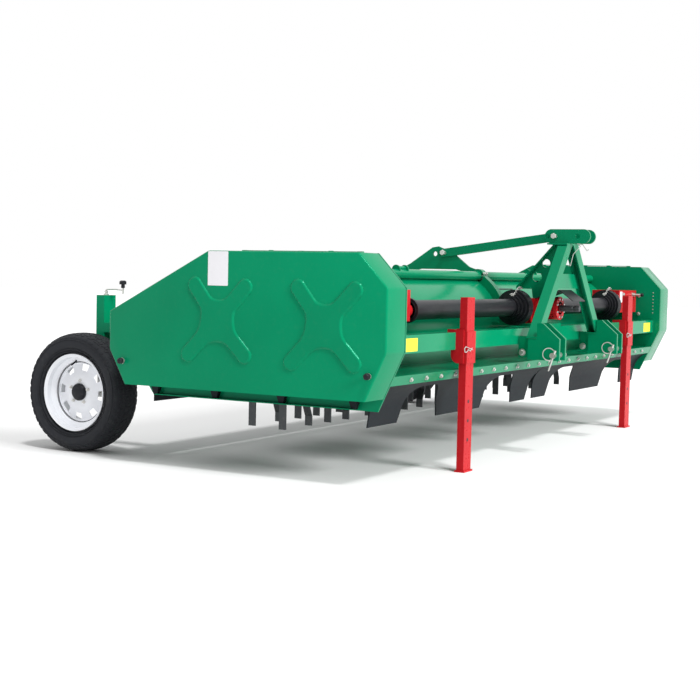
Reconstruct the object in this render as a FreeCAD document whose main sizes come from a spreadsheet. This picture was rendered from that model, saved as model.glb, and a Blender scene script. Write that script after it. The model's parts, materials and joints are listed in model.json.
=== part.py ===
"""Four-row potato haulm topper for a tractor's rear three-point linkage.

Millimetres. X runs across the machine (+X is its left-hand side), -Y is the front, where the
tractor is, and +Z is up. The sketches measure Y from the front face of the side covers, and every
piece is then moved by the same amount, so that the origin is on the ground under the middle of the
whole machine. It is level, parked on its two front stands and its two rear wheels.
"""
import FreeCAD, Part

import math
import os

import Sketcher
from FreeCAD import Vector

# ---------------------------------------------------------------- driving dimensions

SIZES = {
    # rows and side boxes
    "row_pitch": 900.0,
    "side_margin": 22.0,
    "cover_depth": 170.0,
    "cover_sheet": 3.0,
    "cover_gap": 5.0,
    "cover_rise": 71.0,
    "cover_bottom": 378.0,
    "rear_space": 333.0,
    "top_edge_front": 139.0,
    "rear_slope_run": 556.0,
    "rear_slope_drop": 285.0,
    "front_slope_drop": 145.0,
    "front_edge_bottom": 585.0,
    "bottom_edge_front": 97.0,
    "rear_edge_bottom": 539.0,
    "rear_chamfer_run": 91.0,
    "end_plate_thick": 8.0,
    "end_plate_skirt": 57.0,
    "skirt_heel": 42.0,
    "hinge_rod_dia": 4.0,
    "hinge_inset": 4.0,
    "hinge_height": 4.0,
    "hinge_length": 620.0,
    "hinge_ear_length": 46.0,
    "hinge_ear_width": 24.0,
    "hinge_foot_height": 5.0,
    "hinge_foot_clear": 1.5,
    "shaft_room": 6.0,
    "latch_dia": 30.0,
    "latch_reach": 28.0,
    "latch_inset": 80.0,
    "latch_rise": 108.0,
    # hood over the rotor
    "hood_front": 350.0,
    "hood_headroom": 50.0,
    "hood_bottom": 476.0,
    "hood_bend": 290.0,
    "hood_sheet": 5.0,
    "top_tube_dia": 48.0,
    "tube_wall": 4.0,
    "tube_inset": 140.0,
    "tube_gap": 1.0,
    "collar_dia": 76.0,
    "collar_width": 44.0,
    "rib_depth": 44.0,
    "rib_width": 50.0,
    # frame beams
    "beam_side": 80.0,
    "beam_wall": 6.0,
    "beam_front": 45.0,
    "beam_bottom": 571.0,
    "rear_beam_inset": 47.0,
    "rear_beam_bottom": 590.0,
    # rubber curtains
    "lip_height": 43.0,
    "lip_thick": 6.0,
    "rubber_thick": 6.0,
    "curtain_bottom": 248.0,
    "curtain_set_back": 165.0,
    "curtain_hem_back": 178.0,
    "curtain_bow": 160.0,
    "curtain_knee": 82.0,
    "slit_half_foot": 57.0,
    "slit_height": 177.0,
    "arch_half_foot": 205.0,
    "arch_half_waist": 168.0,
    "arch_half_crown": 75.0,
    "arch_waist_height": 87.0,
    "arch_crown_height": 160.0,
    "arch_bend": 105.0,
    "rear_curtain_bottom": 289.0,
    # rotor with hinged flails
    "rotor_z": 520.0,
    "drum_dia": 140.0,
    "drum_end_gap": 14.0,
    "journal_dia": 50.0,
    "flail_circle": 140.0,
    "flail_length": 220.0,
    "flail_gap": 30.0,
    "flail_width": 36.0,
    "flail_thick": 8.0,
    "flail_pitch": 200.0,
    "flail_bend": 26.0,
    "lug_thick": 6.0,
    "lug_width": 44.0,
    "flail_pin_dia": 12.0,
    # drive line
    "drive_gap": 150.0,
    "drive_z": 751.0,
    "shaft_dia": 35.0,
    "running_gap": 0.05,
    "gearbox_width": 150.0,
    "gearbox_above": 50.0,
    "output_reach": 135.0,
    "gearbox_length": 180.0,
    "gearbox_flange_dia": 104.0,
    "gearbox_flange": 20.0,
    "gearbox_nose_dia": 92.0,
    "nose_flange_dia": 126.0,
    "gearbox_nose": 195.0,
    "input_reach": 305.0,
    "input_hold": 85.0,
    "journal_step": 5.0,
    "mount_plate": 16.0,
    "mount_width": 248.0,
    "guard_dia": 92.0,
    "guard_wall": 3.0,
    "guard_gap": 2.0,
    "bell_dia": 190.0,
    "bell_length": 120.0,
    "left_guard_short": 98.0,
    "housing_length": 352.0,
    "housing_gap": 5.0,
    "housing_below": 48.0,
    "housing_above": 94.0,
    "housing_front": 35.0,
    "housing_wall": 8.0,
    "boss_dia": 66.0,
    "boss_length": 30.0,
    "pulley_width": 92.0,
    "pulley_edge_gap": 45.0,
    "drive_pulley_dia": 220.0,
    "rotor_pulley_dia": 150.0,
    "belt_pitch": 22.0,
    "belt_width": 17.0,
    "belt_depth": 12.0,
    "belt_gap": 0.5,
    # three-point headstock
    "hitch_half": 450.0,
    "clevis_gap": 68.0,
    "clevis_plate": 15.0,
    "clevis_bottom": 496.0,
    "clevis_top": 682.0,
    "clevis_reach": 230.0,
    "clevis_rear": 60.0,
    "clevis_cap_z": 605.0,
    "clevis_chamfer": 90.0,
    "clevis_chamfer_drop": 77.0,
    "stub_width": 50.0,
    "hitch_pin_dia": 28.0,
    "hitch_pin_reach": 203.0,
    "hitch_pin_z": 523.0,
    "hitch_pin_over": 28.0,
    "cap_plate": 8.0,
    "leg_depth": 53.0,
    "leg_width": 76.0,
    "leg_wall": 8.0,
    "leg_reach": 75.5,
    "leg_top_half": 46.0,
    "leg_margin": 6.0,
    "mast_cap_z": 1092.0,
    "mast_cap_half": 92.0,
    "mast_plate_height": 76.0,
    "mast_plate_front": 137.5,
    "mast_plate_rear": 119.5,
    "mast_plate_thick": 12.0,
    "mast_plate_gap": 68.0,
    "top_pin_bore": 25.7,
    "top_pin_reach": 67.5,
    "tie_pin_dia": 25.0,
    "tie_pin_over": 12.0,
    "tie_pin_back": 60.5,
    "spare_pin_back": 102.5,
    "tie_height": 46.0,
    "tie_flat": 10.0,
    "ear_thick": 12.0,
    "ear_pin_back": 212.0,
    "ear_pin_rise": 126.0,
    "lift_hole_dia": 27.0,
    "cross_plate_top": 155.0,
    "cross_plate_height": 79.0,
    "cross_plate_lap": 10.0,
    "brace_front": 42.5,
    "brace_rear": 70.5,
    "brace_run": 206.0,
    "brace_foot_z": 860.0,
    "brace_foot": 73.0,
    "brace_bar": 54.0,
    "shield_plate": 4.0,
    "shield_half": 92.0,
    "shield_ridge_y": 20.0,
    "shield_ridge_z": 847.0,
    "shield_tip_z": 790.0,
    # parking stands
    "stand_inset": 641.0,
    "stand_wall": 4.0,
    "stand_width": 82.0,
    "stand_depth": 36.0,
    "stand_height": 814.0,
    "foot_plate": 8.0,
    "foot_over": 7.0,
    "sleeve_gap": 1.0,
    "sleeve_wall": 5.0,
    "sleeve_below": 63.0,
    "sleeve_height": 149.0,
    "sleeve_back": 8.0,
    "hook_plate": 6.0,
    "hook_rise": 14.0,
    "hook_lap": 37.0,
    "hook_front": 40.0,
    "lobe_back": 23.0,
    "lobe_radius": 38.0,
    # depth wheels
    "wheel_gap": 99.0,
    "wheel_inset": 100.0,
    "tyre_dia": 590.0,
    "tyre_width": 185.0,
    "rim_dia": 356.0,
    "rim_flange": 14.0,
    "rim_width": 150.0,
    "rim_sheet": 4.0,
    "rim_well": 30.0,
    "hub_dia": 72.0,
    "hub_length": 96.0,
    "hub_cap": 12.0,
    "axle_dia": 35.0,
    "post_gap": 29.5,
    "post_width": 90.0,
    "post_depth": 50.0,
    "post_wall": 5.0,
    "post_top": 772.0,
    "post_bottom": 470.0,
    "leg_gap": 1.0,
    "wheel_leg_wall": 5.0,
    "wheel_leg_room": 144.0,
    "crank_arm": 120.0,
    "crank_rise": 60.0,
}

doc = FreeCAD.newDocument("haulm_topper")
sheet = doc.addObject("Spreadsheet::Sheet", "dims")
for row, (alias, number) in enumerate(SIZES.items(), start=1):
    sheet.set(f"A{row}", alias)
    sheet.set(f"B{row}", str(number))
    sheet.setAlias(f"B{row}", alias)
doc.recompute()


class Size:
    """A number together with the spreadsheet expression that it comes from."""

    def __init__(self, value, text):
        self.value = value
        self.text = text

    def __add__(self, other):
        other = as_size(other)
        return Size(self.value + other.value, f"({self.text} + {other.text})")

    def __sub__(self, other):
        other = as_size(other)
        return Size(self.value - other.value, f"({self.text} - {other.text})")

    def __mul__(self, other):
        other = as_size(other)
        return Size(self.value * other.value, f"({self.text} * {other.text})")

    def __truediv__(self, other):
        other = as_size(other)
        return Size(self.value / other.value, f"({self.text} / {other.text})")

    def __neg__(self):
        return self * -1

    def __radd__(self, other):
        return as_size(other) + self

    def __rsub__(self, other):
        return as_size(other) - self

    def __rmul__(self, other):
        return as_size(other) * self


def as_size(number):
    return number if isinstance(number, Size) else Size(float(number), f"({number})")


def root(number):
    return Size(math.sqrt(number.value), f"sqrt({number.text})")


class Dimensions:
    """Every alias of the sheet as a Size."""


D = Dimensions()
for alias in SIZES:
    setattr(D, alias, Size(float(sheet.get(alias)), f"dims.{alias}"))

# across the machine
HOOD_WIDTH = D.row_pitch * 4 + D.side_margin * 2
PLATE_INNER = HOOD_WIDTH / 2
INNER_HALF = PLATE_INNER + D.end_plate_thick
OUTER_HALF = INNER_HALF + D.cover_depth

# rotor, hood and side covers
FLAIL_REACH = D.flail_circle + D.flail_length
ROTOR_Y = D.hood_front + D.flail_gap + FLAIL_REACH
HOOD_REAR = ROTOR_Y + FLAIL_REACH + D.flail_gap
HOOD_TOP = D.rotor_z + FLAIL_REACH + D.hood_headroom
BEND_Z = HOOD_TOP - D.hood_bend
TUBE_REACH = D.hood_bend + D.top_tube_dia / 2 + D.tube_gap
TUBE_RUN = D.hood_bend - D.tube_inset
TUBE_Z = BEND_Z + root(TUBE_REACH * TUBE_REACH - TUBE_RUN * TUBE_RUN)
FRONT_TUBE_Y = D.hood_front + D.tube_inset
REAR_TUBE_Y = HOOD_REAR - D.tube_inset
COVER_LENGTH = HOOD_REAR + D.rear_space
COVER_TOP = HOOD_TOP + D.cover_rise
FRONT_SLOPE = D.bottom_edge_front / (D.front_edge_bottom - D.cover_bottom)
TOP_EDGE_REAR = COVER_LENGTH - D.rear_slope_run
HINGE_X = INNER_HALF + D.cover_gap + D.hinge_inset
HINGE_Y = (D.top_edge_front + TOP_EDGE_REAR) / 2
HINGE_Z = COVER_TOP + D.hinge_height

# beams and drive line
BEAM_REAR = D.beam_front + D.beam_side
BEAM_TOP = D.beam_bottom + D.beam_side
REAR_BEAM_FRONT = COVER_LENGTH - D.rear_beam_inset - D.beam_side
DRIVE_Y = D.hood_front - D.drive_gap
GEARBOX_BOTTOM = BEAM_TOP + D.mount_plate
GEARBOX_TOP = D.drive_z + D.gearbox_above
GEARBOX_FRONT = DRIVE_Y - D.gearbox_length / 2
NOSE_FRONT = DRIVE_Y - D.gearbox_nose
HOUSING_INNER = PLATE_INNER - D.housing_length
PULLEY_START = INNER_HALF + D.pulley_edge_gap

# headstock
CLEVIS_FRONT = D.beam_front - D.clevis_reach
HITCH_PIN_Y = D.beam_front - D.hitch_pin_reach
LEG_Y = D.beam_front - D.leg_reach
LEG_FRONT = LEG_Y - D.leg_depth / 2
LEG_FOOT_Z = D.clevis_cap_z + D.cap_plate
HEAD_Z = D.mast_cap_z + D.cap_plate + D.mast_plate_height / 2
TIE_FRONT_Y = LEG_Y + D.tie_pin_back
TIE_REAR_Y = FRONT_TUBE_Y + D.ear_pin_back
TIE_REAR_Z = TUBE_Z + D.ear_pin_rise

# stands and wheels
STAND_HALF = PLATE_INNER - D.stand_inset
SLEEVE_HALF_WIDTH = D.stand_width / 2 + D.sleeve_gap + D.sleeve_wall
SLEEVE_HALF_DEPTH = D.stand_depth / 2 + D.sleeve_gap + D.sleeve_wall
STAND_Y = D.beam_front - D.sleeve_back - SLEEVE_HALF_DEPTH
SLEEVE_BOTTOM = D.beam_bottom - D.sleeve_below
WHEEL_Z = D.tyre_dia / 2
WHEEL_Y = COVER_LENGTH + D.wheel_gap + WHEEL_Z
WHEEL_HALF = PLATE_INNER - D.wheel_inset
POST_HALF = WHEEL_HALF - (D.tyre_width + D.post_width) / 2 - D.post_gap
POST_FRONT = WHEEL_Y - D.post_depth / 2
WHEEL_LEG_TOP = D.post_top - D.wheel_leg_room

ORIGIN_Y = (CLEVIS_FRONT + WHEEL_Y + WHEEL_Z) / 2

NODES = {}
SIDES = {"right": -1, "left": 1}


def keep(label, feature):
    """Give a finished piece its name, which is also its file's name."""
    feature.Label = label
    NODES[label] = feature
    return feature


def bind(feature, prop, number):
    feature.setExpression(prop, as_size(number).text)


def place(feature, x=0, y=0, z=0):
    """Move a piece to its place, which is counted from the front of the side covers."""
    for axis, number in zip("xyz", (x, y - ORIGIN_Y, z)):
        bind(feature, f"Placement.Base.{axis}", number)
    return feature


# ---------------------------------------------------------------- sketches and solids

PLANES = {"x": "YZ_Plane", "y": "XZ_Plane", "z": "XY_Plane"}


def new_body(label):
    return keep(label, doc.addObject("PartDesign::Body", label))


def origin_feature(body, role):
    return [item for item in body.Origin.OriginFeatures if item.Role == role][0]


def new_sketch(body, axis, lift=None):
    """A sketch square to an axis: (y, z), (x, z) or (x, y) are its own two directions."""
    sketch = body.newObject("Sketcher::SketchObject", f"{body.Name}_sketch")
    sketch.AttachmentSupport = [(origin_feature(body, PLANES[axis]), "")]
    sketch.MapMode = "FlatFace"
    if lift is not None:
        direction = -1 if axis == "y" else 1
        bind(sketch, "AttachmentOffset.Base.z", direction * as_size(lift))
    return sketch


def pin_point(sketch, geometry, end, u, v):
    for kind, number in (("DistanceX", u), ("DistanceY", v)):
        number = as_size(number)
        index = sketch.addConstraint(Sketcher.Constraint(kind, -1, 1, geometry, end, number.value))
        bind(sketch, f"Constraints[{index}]", number)


def arc_between(start, end, radius, side):
    """The short arc from start to end, with its centre to the left (1) or right (-1)."""
    chord = end - start
    middle = (start + end) * 0.5
    rise = math.sqrt(max(radius ** 2 - (chord.Length / 2) ** 2, 0.0))
    normal = Vector(-chord.y, chord.x, 0).normalize()
    centre = middle + normal * rise * side
    first, last = (start, end) if side > 0 else (end, start)
    angles = [math.atan2(point.y - centre.y, point.x - centre.x) for point in (first, last)]
    circle = Part.Circle(centre, Vector(0, 0, 1), radius)
    return Part.ArcOfCircle(circle, angles[0], angles[1])


def draw(sketch, corners):
    """A closed outline of corners (u, v), or (u, v, radius, side) where an arc arrives."""
    points = [Vector(as_size(corner[0]).value, as_size(corner[1]).value, 0) for corner in corners]
    edges = []
    for index, corner in enumerate(corners):
        start, end = points[index - 1], points[index]
        if len(corner) == 4:
            radius = as_size(corner[2])
            geometry = sketch.addGeometry(arc_between(start, end, radius.value, corner[3]))
            ends = (1, 2) if corner[3] > 0 else (2, 1)
            limit = sketch.addConstraint(Sketcher.Constraint("Radius", geometry, radius.value))
            bind(sketch, f"Constraints[{limit}]", radius)
        else:
            geometry = sketch.addGeometry(Part.LineSegment(start, end))
            ends = (1, 2)
        edges.append((geometry, ends))
    for index, corner in enumerate(corners):
        geometry, ends = edges[index]
        following, next_ends = edges[(index + 1) % len(edges)]
        sketch.addConstraint(
            Sketcher.Constraint("Coincident", geometry, ends[1], following, next_ends[0]))
        pin_point(sketch, geometry, ends[1], corner[0], corner[1])


def draw_circle(sketch, u, v, diameter):
    u, v, diameter = as_size(u), as_size(v), as_size(diameter)
    circle = Part.Circle(Vector(u.value, v.value, 0), Vector(0, 0, 1), diameter.value / 2)
    geometry = sketch.addGeometry(circle)
    pin_point(sketch, geometry, 3, u, v)
    index = sketch.addConstraint(Sketcher.Constraint("Diameter", geometry, diameter.value))
    bind(sketch, f"Constraints[{index}]", diameter)


def pad(body, sketch, length):
    """Solid of the sketch, half the length to each side of it."""
    feature = body.newObject("PartDesign::Pad", f"{body.Name}_pad")
    feature.Profile = sketch
    feature.Midplane = True
    bind(feature, "Length", length)
    doc.recompute()
    return feature


def pocket(body, sketch, length):
    """Cut the sketch out, half the length to each side of it."""
    before = body.Shape.Volume
    feature = body.newObject("PartDesign::Pocket", f"{body.Name}_pocket")
    feature.Profile = sketch
    feature.Midplane = True
    bind(feature, "Length", length)
    doc.recompute()
    if body.Shape.Volume >= before:
        raise ValueError(f"{feature.Name} cuts nothing")
    return feature


def plate(label, axis, corners, thickness, holes=(), x=0, y=0, z=0, lift=None):
    """A flat piece of the outline, with round holes (u, v, diameter), at a place."""
    body = new_body(label)
    sketch = new_sketch(body, axis, lift)
    draw(sketch, corners)
    for hole in holes:
        draw_circle(sketch, *hole)
    pad(body, sketch, thickness)
    return place(body, x, y, z)


def rectangle(u_low, u_high, v_low, v_high):
    return [(u_low, v_low), (u_high, v_low), (u_high, v_high), (u_low, v_high)]


def tube(label, axis, u_low, u_high, v_low, v_high, wall, length, x=0, y=0, z=0):
    """A square tube along an axis."""
    body = new_body(label)
    sketch = new_sketch(body, axis)
    draw(sketch, rectangle(u_low, u_high, v_low, v_high))
    draw(sketch, rectangle(u_low + wall, u_high - wall, v_low + wall, v_high - wall))
    pad(body, sketch, length)
    return place(body, x, y, z)


def faces_towards(shape, direction):
    """Names of the flat faces whose outside looks along the direction."""
    names = []
    for index, face in enumerate(shape.Faces, start=1):
        u_low, u_high, v_low, v_high = face.ParameterRange
        normal = face.normalAt((u_low + u_high) / 2, (v_low + v_high) / 2)
        if isinstance(face.Surface, Part.Plane) and normal.dot(Vector(*direction)) > 0.999:
            names.append(f"Face{index}")
    return names


def hollow(body, wall, open_directions):
    """Leave a wall of the given thickness, open where the faces look along the directions."""
    solid = body.Tip
    open_faces = []
    for direction in open_directions:
        open_faces += faces_towards(solid.Shape, direction)
    feature = body.newObject("PartDesign::Thickness", f"{body.Name}_shell")
    feature.Base = (solid, open_faces)
    feature.Mode = "Skin"
    feature.Join = "Intersection"
    feature.Reversed = True
    bind(feature, "Value", wall)
    doc.recompute()
    return feature


AXIS_TURN = {
    "x": FreeCAD.Rotation(Vector(0, 1, 0), 90),
    "y": FreeCAD.Rotation(Vector(1, 0, 0), -90),
    "z": FreeCAD.Rotation(),
}


def rod(name, axis, start, diameter, length):
    """A Part::Cylinder that runs from start in the axis's positive direction."""
    cylinder = doc.addObject("Part::Cylinder", name)
    cylinder.Placement = FreeCAD.Placement(Vector(), AXIS_TURN[axis])
    bind(cylinder, "Radius", as_size(diameter) / 2)
    bind(cylinder, "Height", length)
    return place(cylinder, *start)


def block(name, start, size):
    """A Part::Box from its low corner."""
    box = doc.addObject("Part::Box", name)
    for prop, number in zip(("Length", "Width", "Height"), size):
        bind(box, prop, number)
    return place(box, *start)


def join(name, pieces):
    fuse = doc.addObject("Part::MultiFuse", name)
    fuse.Shapes = pieces
    fuse.Refine = True
    return fuse


def cut(name, base, tools):
    """The base less the tools."""
    tool = tools[0] if len(tools) == 1 else join(f"{name}_tools", tools)
    result = doc.addObject("Part::Cut", name)
    result.Base = base
    result.Tool = tool
    result.Refine = True
    return result


def revolve(label, profile, x=0, y=0, z=0):
    """A ring about a line along X: the profile is (x, r) in the XZ plane."""
    body = new_body(label)
    sketch = new_sketch(body, "y")
    draw(sketch, profile)
    feature = body.newObject("PartDesign::Revolution", f"{body.Name}_turn")
    feature.Profile = sketch
    feature.ReferenceAxis = (origin_feature(body, "X_Axis"), [""])
    feature.Angle = 360
    doc.recompute()
    return place(body, x, y, z)


def along_side(side, near, far):
    """Low X of a stretch from near to far of the centre line, on one side."""
    return near * side if side > 0 else far * side


def group(label, pieces):
    """Like pieces that don't touch, as one sub-part."""
    compound = doc.addObject("Part::Compound", label)
    compound.Links = pieces
    return keep(label, compound)


def piece_of(feature):
    """Take a finished piece off the list of sub-parts, to be joined into another."""
    del NODES[feature.Label]
    return feature


def front_line(height):
    """How far back the sloping lower front edge is at a height."""
    return (D.front_edge_bottom - height) * FRONT_SLOPE


def side_outline(bottom, bottom_corners):
    """Outline of a side, with its front edge carried on down to the bottom line."""
    return [
        (TOP_EDGE_REAR, COVER_TOP),
        (D.top_edge_front, COVER_TOP),
        (0, COVER_TOP - D.front_slope_drop),
        (0, D.front_edge_bottom),
        (front_line(bottom), bottom),
        *bottom_corners,
        (COVER_LENGTH, D.rear_edge_bottom),
        (COVER_LENGTH, COVER_TOP - D.rear_slope_drop),
    ]


# ---------------------------------------------------------------- sides

def side_cover(name, side):
    """Pan of folded sheet, open to the end plate and underneath, with hinge ears and two latches."""
    pan = doc.addObject("PartDesign::Body", f"{name}_pan")
    sketch = new_sketch(pan, "x")
    draw(sketch, side_outline(D.cover_bottom, [(COVER_LENGTH - D.rear_chamfer_run, D.cover_bottom)]))
    depth = D.cover_depth - D.cover_gap
    pad(pan, sketch, depth)
    hollow(pan, D.cover_sheet, [(-side, 0, 0), (0, 0, -1)])
    place(pan, x=side * (OUTER_HALF - depth / 2))
    pieces = [pan]
    near = INNER_HALF + D.cover_gap
    for spot in (-1, 1):
        y = HINGE_Y + spot * D.hinge_length / 4 - D.hinge_ear_width / 2
        ear = block(f"{name}_ear_block_{spot + 1}",
                    (along_side(side, near, near + D.hinge_ear_length), y, COVER_TOP),
                    (D.hinge_ear_length, D.hinge_ear_width, D.hinge_height + D.hinge_inset))
        bore = rod(f"{name}_ear_bore_{spot + 1}", "y", (side * HINGE_X, y, HINGE_Z),
                   D.hinge_rod_dia + D.running_gap * 2, D.hinge_ear_width)
        pieces.append(cut(f"{name}_ear_{spot + 1}", ear, [bore]))
    face = OUTER_HALF - D.cover_sheet / 2
    tip = OUTER_HALF + D.latch_reach
    for end, y in (("front", D.latch_inset), ("rear", COVER_LENGTH - D.latch_inset)):
        start = (along_side(side, face, tip), y, D.cover_bottom + D.latch_rise)
        pieces.append(rod(f"{name}_{end}_latch", "x", start, D.latch_dia, tip - face))
    keep(f"{name}_side_cover", join(f"{name}_side_cover", pieces))


def end_plate(name, side):
    """Side wall with holes for the shafts, and the cover's hinge rod on three feet on its top."""
    skirt = D.cover_bottom - D.end_plate_skirt
    outline = side_outline(skirt, [
        (COVER_LENGTH - D.rear_chamfer_run - D.skirt_heel, skirt),
        (COVER_LENGTH - D.rear_chamfer_run, D.cover_bottom),
    ])
    wall = plate(f"{name}_end_wall", "x", outline, D.end_plate_thick,
                 holes=[(ROTOR_Y, D.rotor_z, D.journal_dia + D.shaft_room * 2),
                        (DRIVE_Y, D.drive_z, D.shaft_dia + D.shaft_room * 2)],
                 x=side * (INNER_HALF - D.end_plate_thick / 2))
    pieces = [
        piece_of(wall),
        rod(f"{name}_hinge_rod", "y", (side * HINGE_X, HINGE_Y - D.hinge_length / 2, HINGE_Z),
            D.hinge_rod_dia, D.hinge_length),
    ]
    arm_bottom = COVER_TOP + D.hinge_foot_clear
    for spot in (-1, 0, 1):
        y = HINGE_Y + spot * (D.hinge_length - D.hinge_ear_width) / 2 - D.hinge_ear_width / 2
        foot_low = along_side(side, PLATE_INNER, INNER_HALF)
        arm_low = along_side(side, PLATE_INNER, HINGE_X)
        pieces.append(block(f"{name}_hinge_foot_{spot + 1}", (foot_low, y, COVER_TOP),
                            (D.end_plate_thick, D.hinge_ear_width,
                             D.hinge_foot_clear + D.hinge_foot_height)))
        pieces.append(block(f"{name}_hinge_arm_{spot + 1}", (arm_low, y, arm_bottom),
                            (HINGE_X - PLATE_INNER, D.hinge_ear_width, D.hinge_foot_height)))
    keep(f"{name}_end_plate", join(f"{name}_end_plate", pieces))


for side_name, side_sign in SIDES.items():
    side_cover(side_name, side_sign)
    end_plate(side_name, side_sign)

# ---------------------------------------------------------------- hood and beams


def hood():
    """Rounded sheet over the rotor, open underneath."""
    inner_bend = D.hood_bend - D.hood_sheet
    front, rear, sheet_t = D.hood_front, HOOD_REAR, D.hood_sheet
    outline = [
        (front, D.hood_bottom),
        (front, BEND_Z),
        (front + D.hood_bend, HOOD_TOP, D.hood_bend, -1),
        (rear - D.hood_bend, HOOD_TOP),
        (rear, BEND_Z, D.hood_bend, -1),
        (rear, D.hood_bottom),
        (rear - sheet_t, D.hood_bottom),
        (rear - sheet_t, BEND_Z),
        (rear - D.hood_bend, HOOD_TOP - sheet_t, inner_bend, 1),
        (front + D.hood_bend, HOOD_TOP - sheet_t),
        (front + sheet_t, BEND_Z, inner_bend, 1),
        (front + sheet_t, D.hood_bottom),
    ]
    plate("hood", "x", outline, HOOD_WIDTH)


def top_tubes():
    for label, y in (("front_top_tube", FRONT_TUBE_Y), ("rear_top_tube", REAR_TUBE_Y)):
        body = new_body(label)
        sketch = new_sketch(body, "x")
        draw_circle(sketch, y, TUBE_Z, D.top_tube_dia)
        draw_circle(sketch, y, TUBE_Z, D.top_tube_dia - D.tube_wall * 2)
        pad(body, sketch, HOOD_WIDTH)
        place(body)


def beams():
    tube("front_beam", "x", D.beam_front, BEAM_REAR, D.beam_bottom, BEAM_TOP, D.beam_wall, HOOD_WIDTH)
    tube("rear_beam", "x", REAR_BEAM_FRONT, REAR_BEAM_FRONT + D.beam_side,
         D.rear_beam_bottom, D.rear_beam_bottom + D.beam_side, D.beam_wall, HOOD_WIDTH)


def hood_rib():
    """Curved rib on the hood's front, from the front tube's collar to the gearbox mount."""
    centre_y = D.hood_front + D.hood_bend
    outer = D.hood_bend + D.rib_depth
    rise = FRONT_TUBE_Y - centre_y
    lift = TUBE_Z - BEND_Z
    reach = root(rise * rise + lift * lift)
    foot = BEAM_TOP + D.mount_plate
    drop = foot - BEND_Z
    inner_foot = centre_y - root(D.hood_bend * D.hood_bend - drop * drop)
    outer_foot = centre_y - root(outer * outer - drop * drop)
    tip = [(centre_y + rise / reach * radius, BEND_Z + lift / reach * radius)
           for radius in (D.hood_bend, outer)]
    outline = [
        (inner_foot, foot, D.hood_bend, 1),
        (outer_foot, foot),
        (*tip[1], outer, -1),
        tip[0],
    ]
    band = piece_of(plate("rib_band", "x", outline, D.rib_width))
    collar = rod("rib_collar_space", "x", (-D.collar_width, FRONT_TUBE_Y, TUBE_Z),
                 D.collar_dia, D.collar_width * 2)
    wall = block("rib_wall_space", (-D.rib_width, D.hood_front, D.hood_bottom),
                 (D.rib_width * 2, D.hood_bend, BEND_Z - D.hood_bottom))
    keep("hood_rib", cut("hood_rib", band, [collar, wall]))


hood()
top_tubes()
beams()
hood_rib()

# ---------------------------------------------------------------- lip and curtains


def front_lip():
    """Floor sheet from the hood's front wall, folded down as the strip that clamps the rubber."""
    low = D.hood_bottom - D.lip_height
    front = front_line(D.hood_bottom)
    outline = [
        (D.hood_front, D.hood_bottom),
        (front, D.hood_bottom),
        (front_line(low), low),
        (front_line(low) + D.lip_thick, low),
        (front + D.lip_thick, D.hood_bottom - D.hood_sheet),
        (D.hood_front, D.hood_bottom - D.hood_sheet),
    ]
    plate("front_lip", "x", outline, HOOD_WIDTH)


def arch(sketch, centre, foot_z):
    """One arch over a ridge: open at the foot, rounded at the crown."""
    waist_z = D.curtain_bottom + D.arch_waist_height
    crown_z = D.curtain_bottom + D.arch_crown_height
    draw(sketch, [
        (centre - D.arch_half_foot, foot_z),
        (centre + D.arch_half_foot, foot_z),
        (centre + D.arch_half_waist, waist_z),
        (centre + D.arch_half_crown, crown_z, D.arch_bend, 1),
        (centre - D.arch_half_crown, crown_z),
        (centre - D.arch_half_waist, waist_z, D.arch_bend, 1),
    ])


def front_curtain():
    """Rubber sheet that bows back from behind the lip, with an arch over each of the four ridges."""
    top = D.hood_bottom - D.hood_sheet - D.rubber_thick
    low = D.hood_bottom - D.lip_height
    knee = D.curtain_bottom + D.curtain_knee
    behind = D.lip_thick + D.rubber_thick
    outline = [
        (front_line(top) + D.lip_thick, top),
        (front_line(low) + D.lip_thick, low),
        (D.curtain_set_back, knee, D.curtain_bow, -1),
        (D.curtain_hem_back, D.curtain_bottom),
        (D.curtain_hem_back + D.rubber_thick, D.curtain_bottom),
        (D.curtain_set_back + D.rubber_thick, knee),
        (front_line(low) + behind, low, D.curtain_bow, 1),
        (front_line(top) + behind, top),
    ]
    body = plate("front_curtain", "x", outline, HOOD_WIDTH)
    foot = D.curtain_bottom - 10
    arches = new_sketch(body, "y", lift=0)
    for row in (-1.5, -0.5, 0.5, 1.5):
        arch(arches, row * D.row_pitch, foot)
    draw(arches, [(-D.slit_half_foot, foot), (D.slit_half_foot, foot),
                  (0, D.curtain_bottom + D.slit_height)])
    pocket(body, arches, COVER_LENGTH)


def rear_curtain():
    """Rubber sheet on the front of the rear beam, and the strip that holds it there."""
    sheet_front = REAR_BEAM_FRONT - D.rubber_thick
    strip_front = sheet_front - D.lip_thick
    strip_top = D.rear_beam_bottom + D.lip_height
    plate("rear_curtain", "x",
          rectangle(sheet_front, REAR_BEAM_FRONT, D.rear_curtain_bottom, strip_top), HOOD_WIDTH)
    plate("rear_lip", "x",
          rectangle(strip_front, sheet_front, D.rear_beam_bottom, strip_top), HOOD_WIDTH)


front_lip()
front_curtain()
rear_curtain()

# ---------------------------------------------------------------- rotor and flails

FLAIL_ROWS = {"front_low": (-1, -1), "rear_low": (1, -1), "front_high": (-1, 1), "rear_high": (1, 1)}
FLAILS_PER_ROW = int(HOOD_WIDTH.value // D.flail_pitch.value)
DIAGONAL = math.sqrt(0.5)
LUG_GAP = D.flail_thick + 2
LUG_HALF = LUG_GAP / 2 + D.lug_thick


def row_start(index):
    """Each row of flails is a quarter pitch on from the row before."""
    return -D.flail_pitch * (FLAILS_PER_ROW - 1) / 2 + D.flail_pitch * (index * 0.25 - 0.375)


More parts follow.
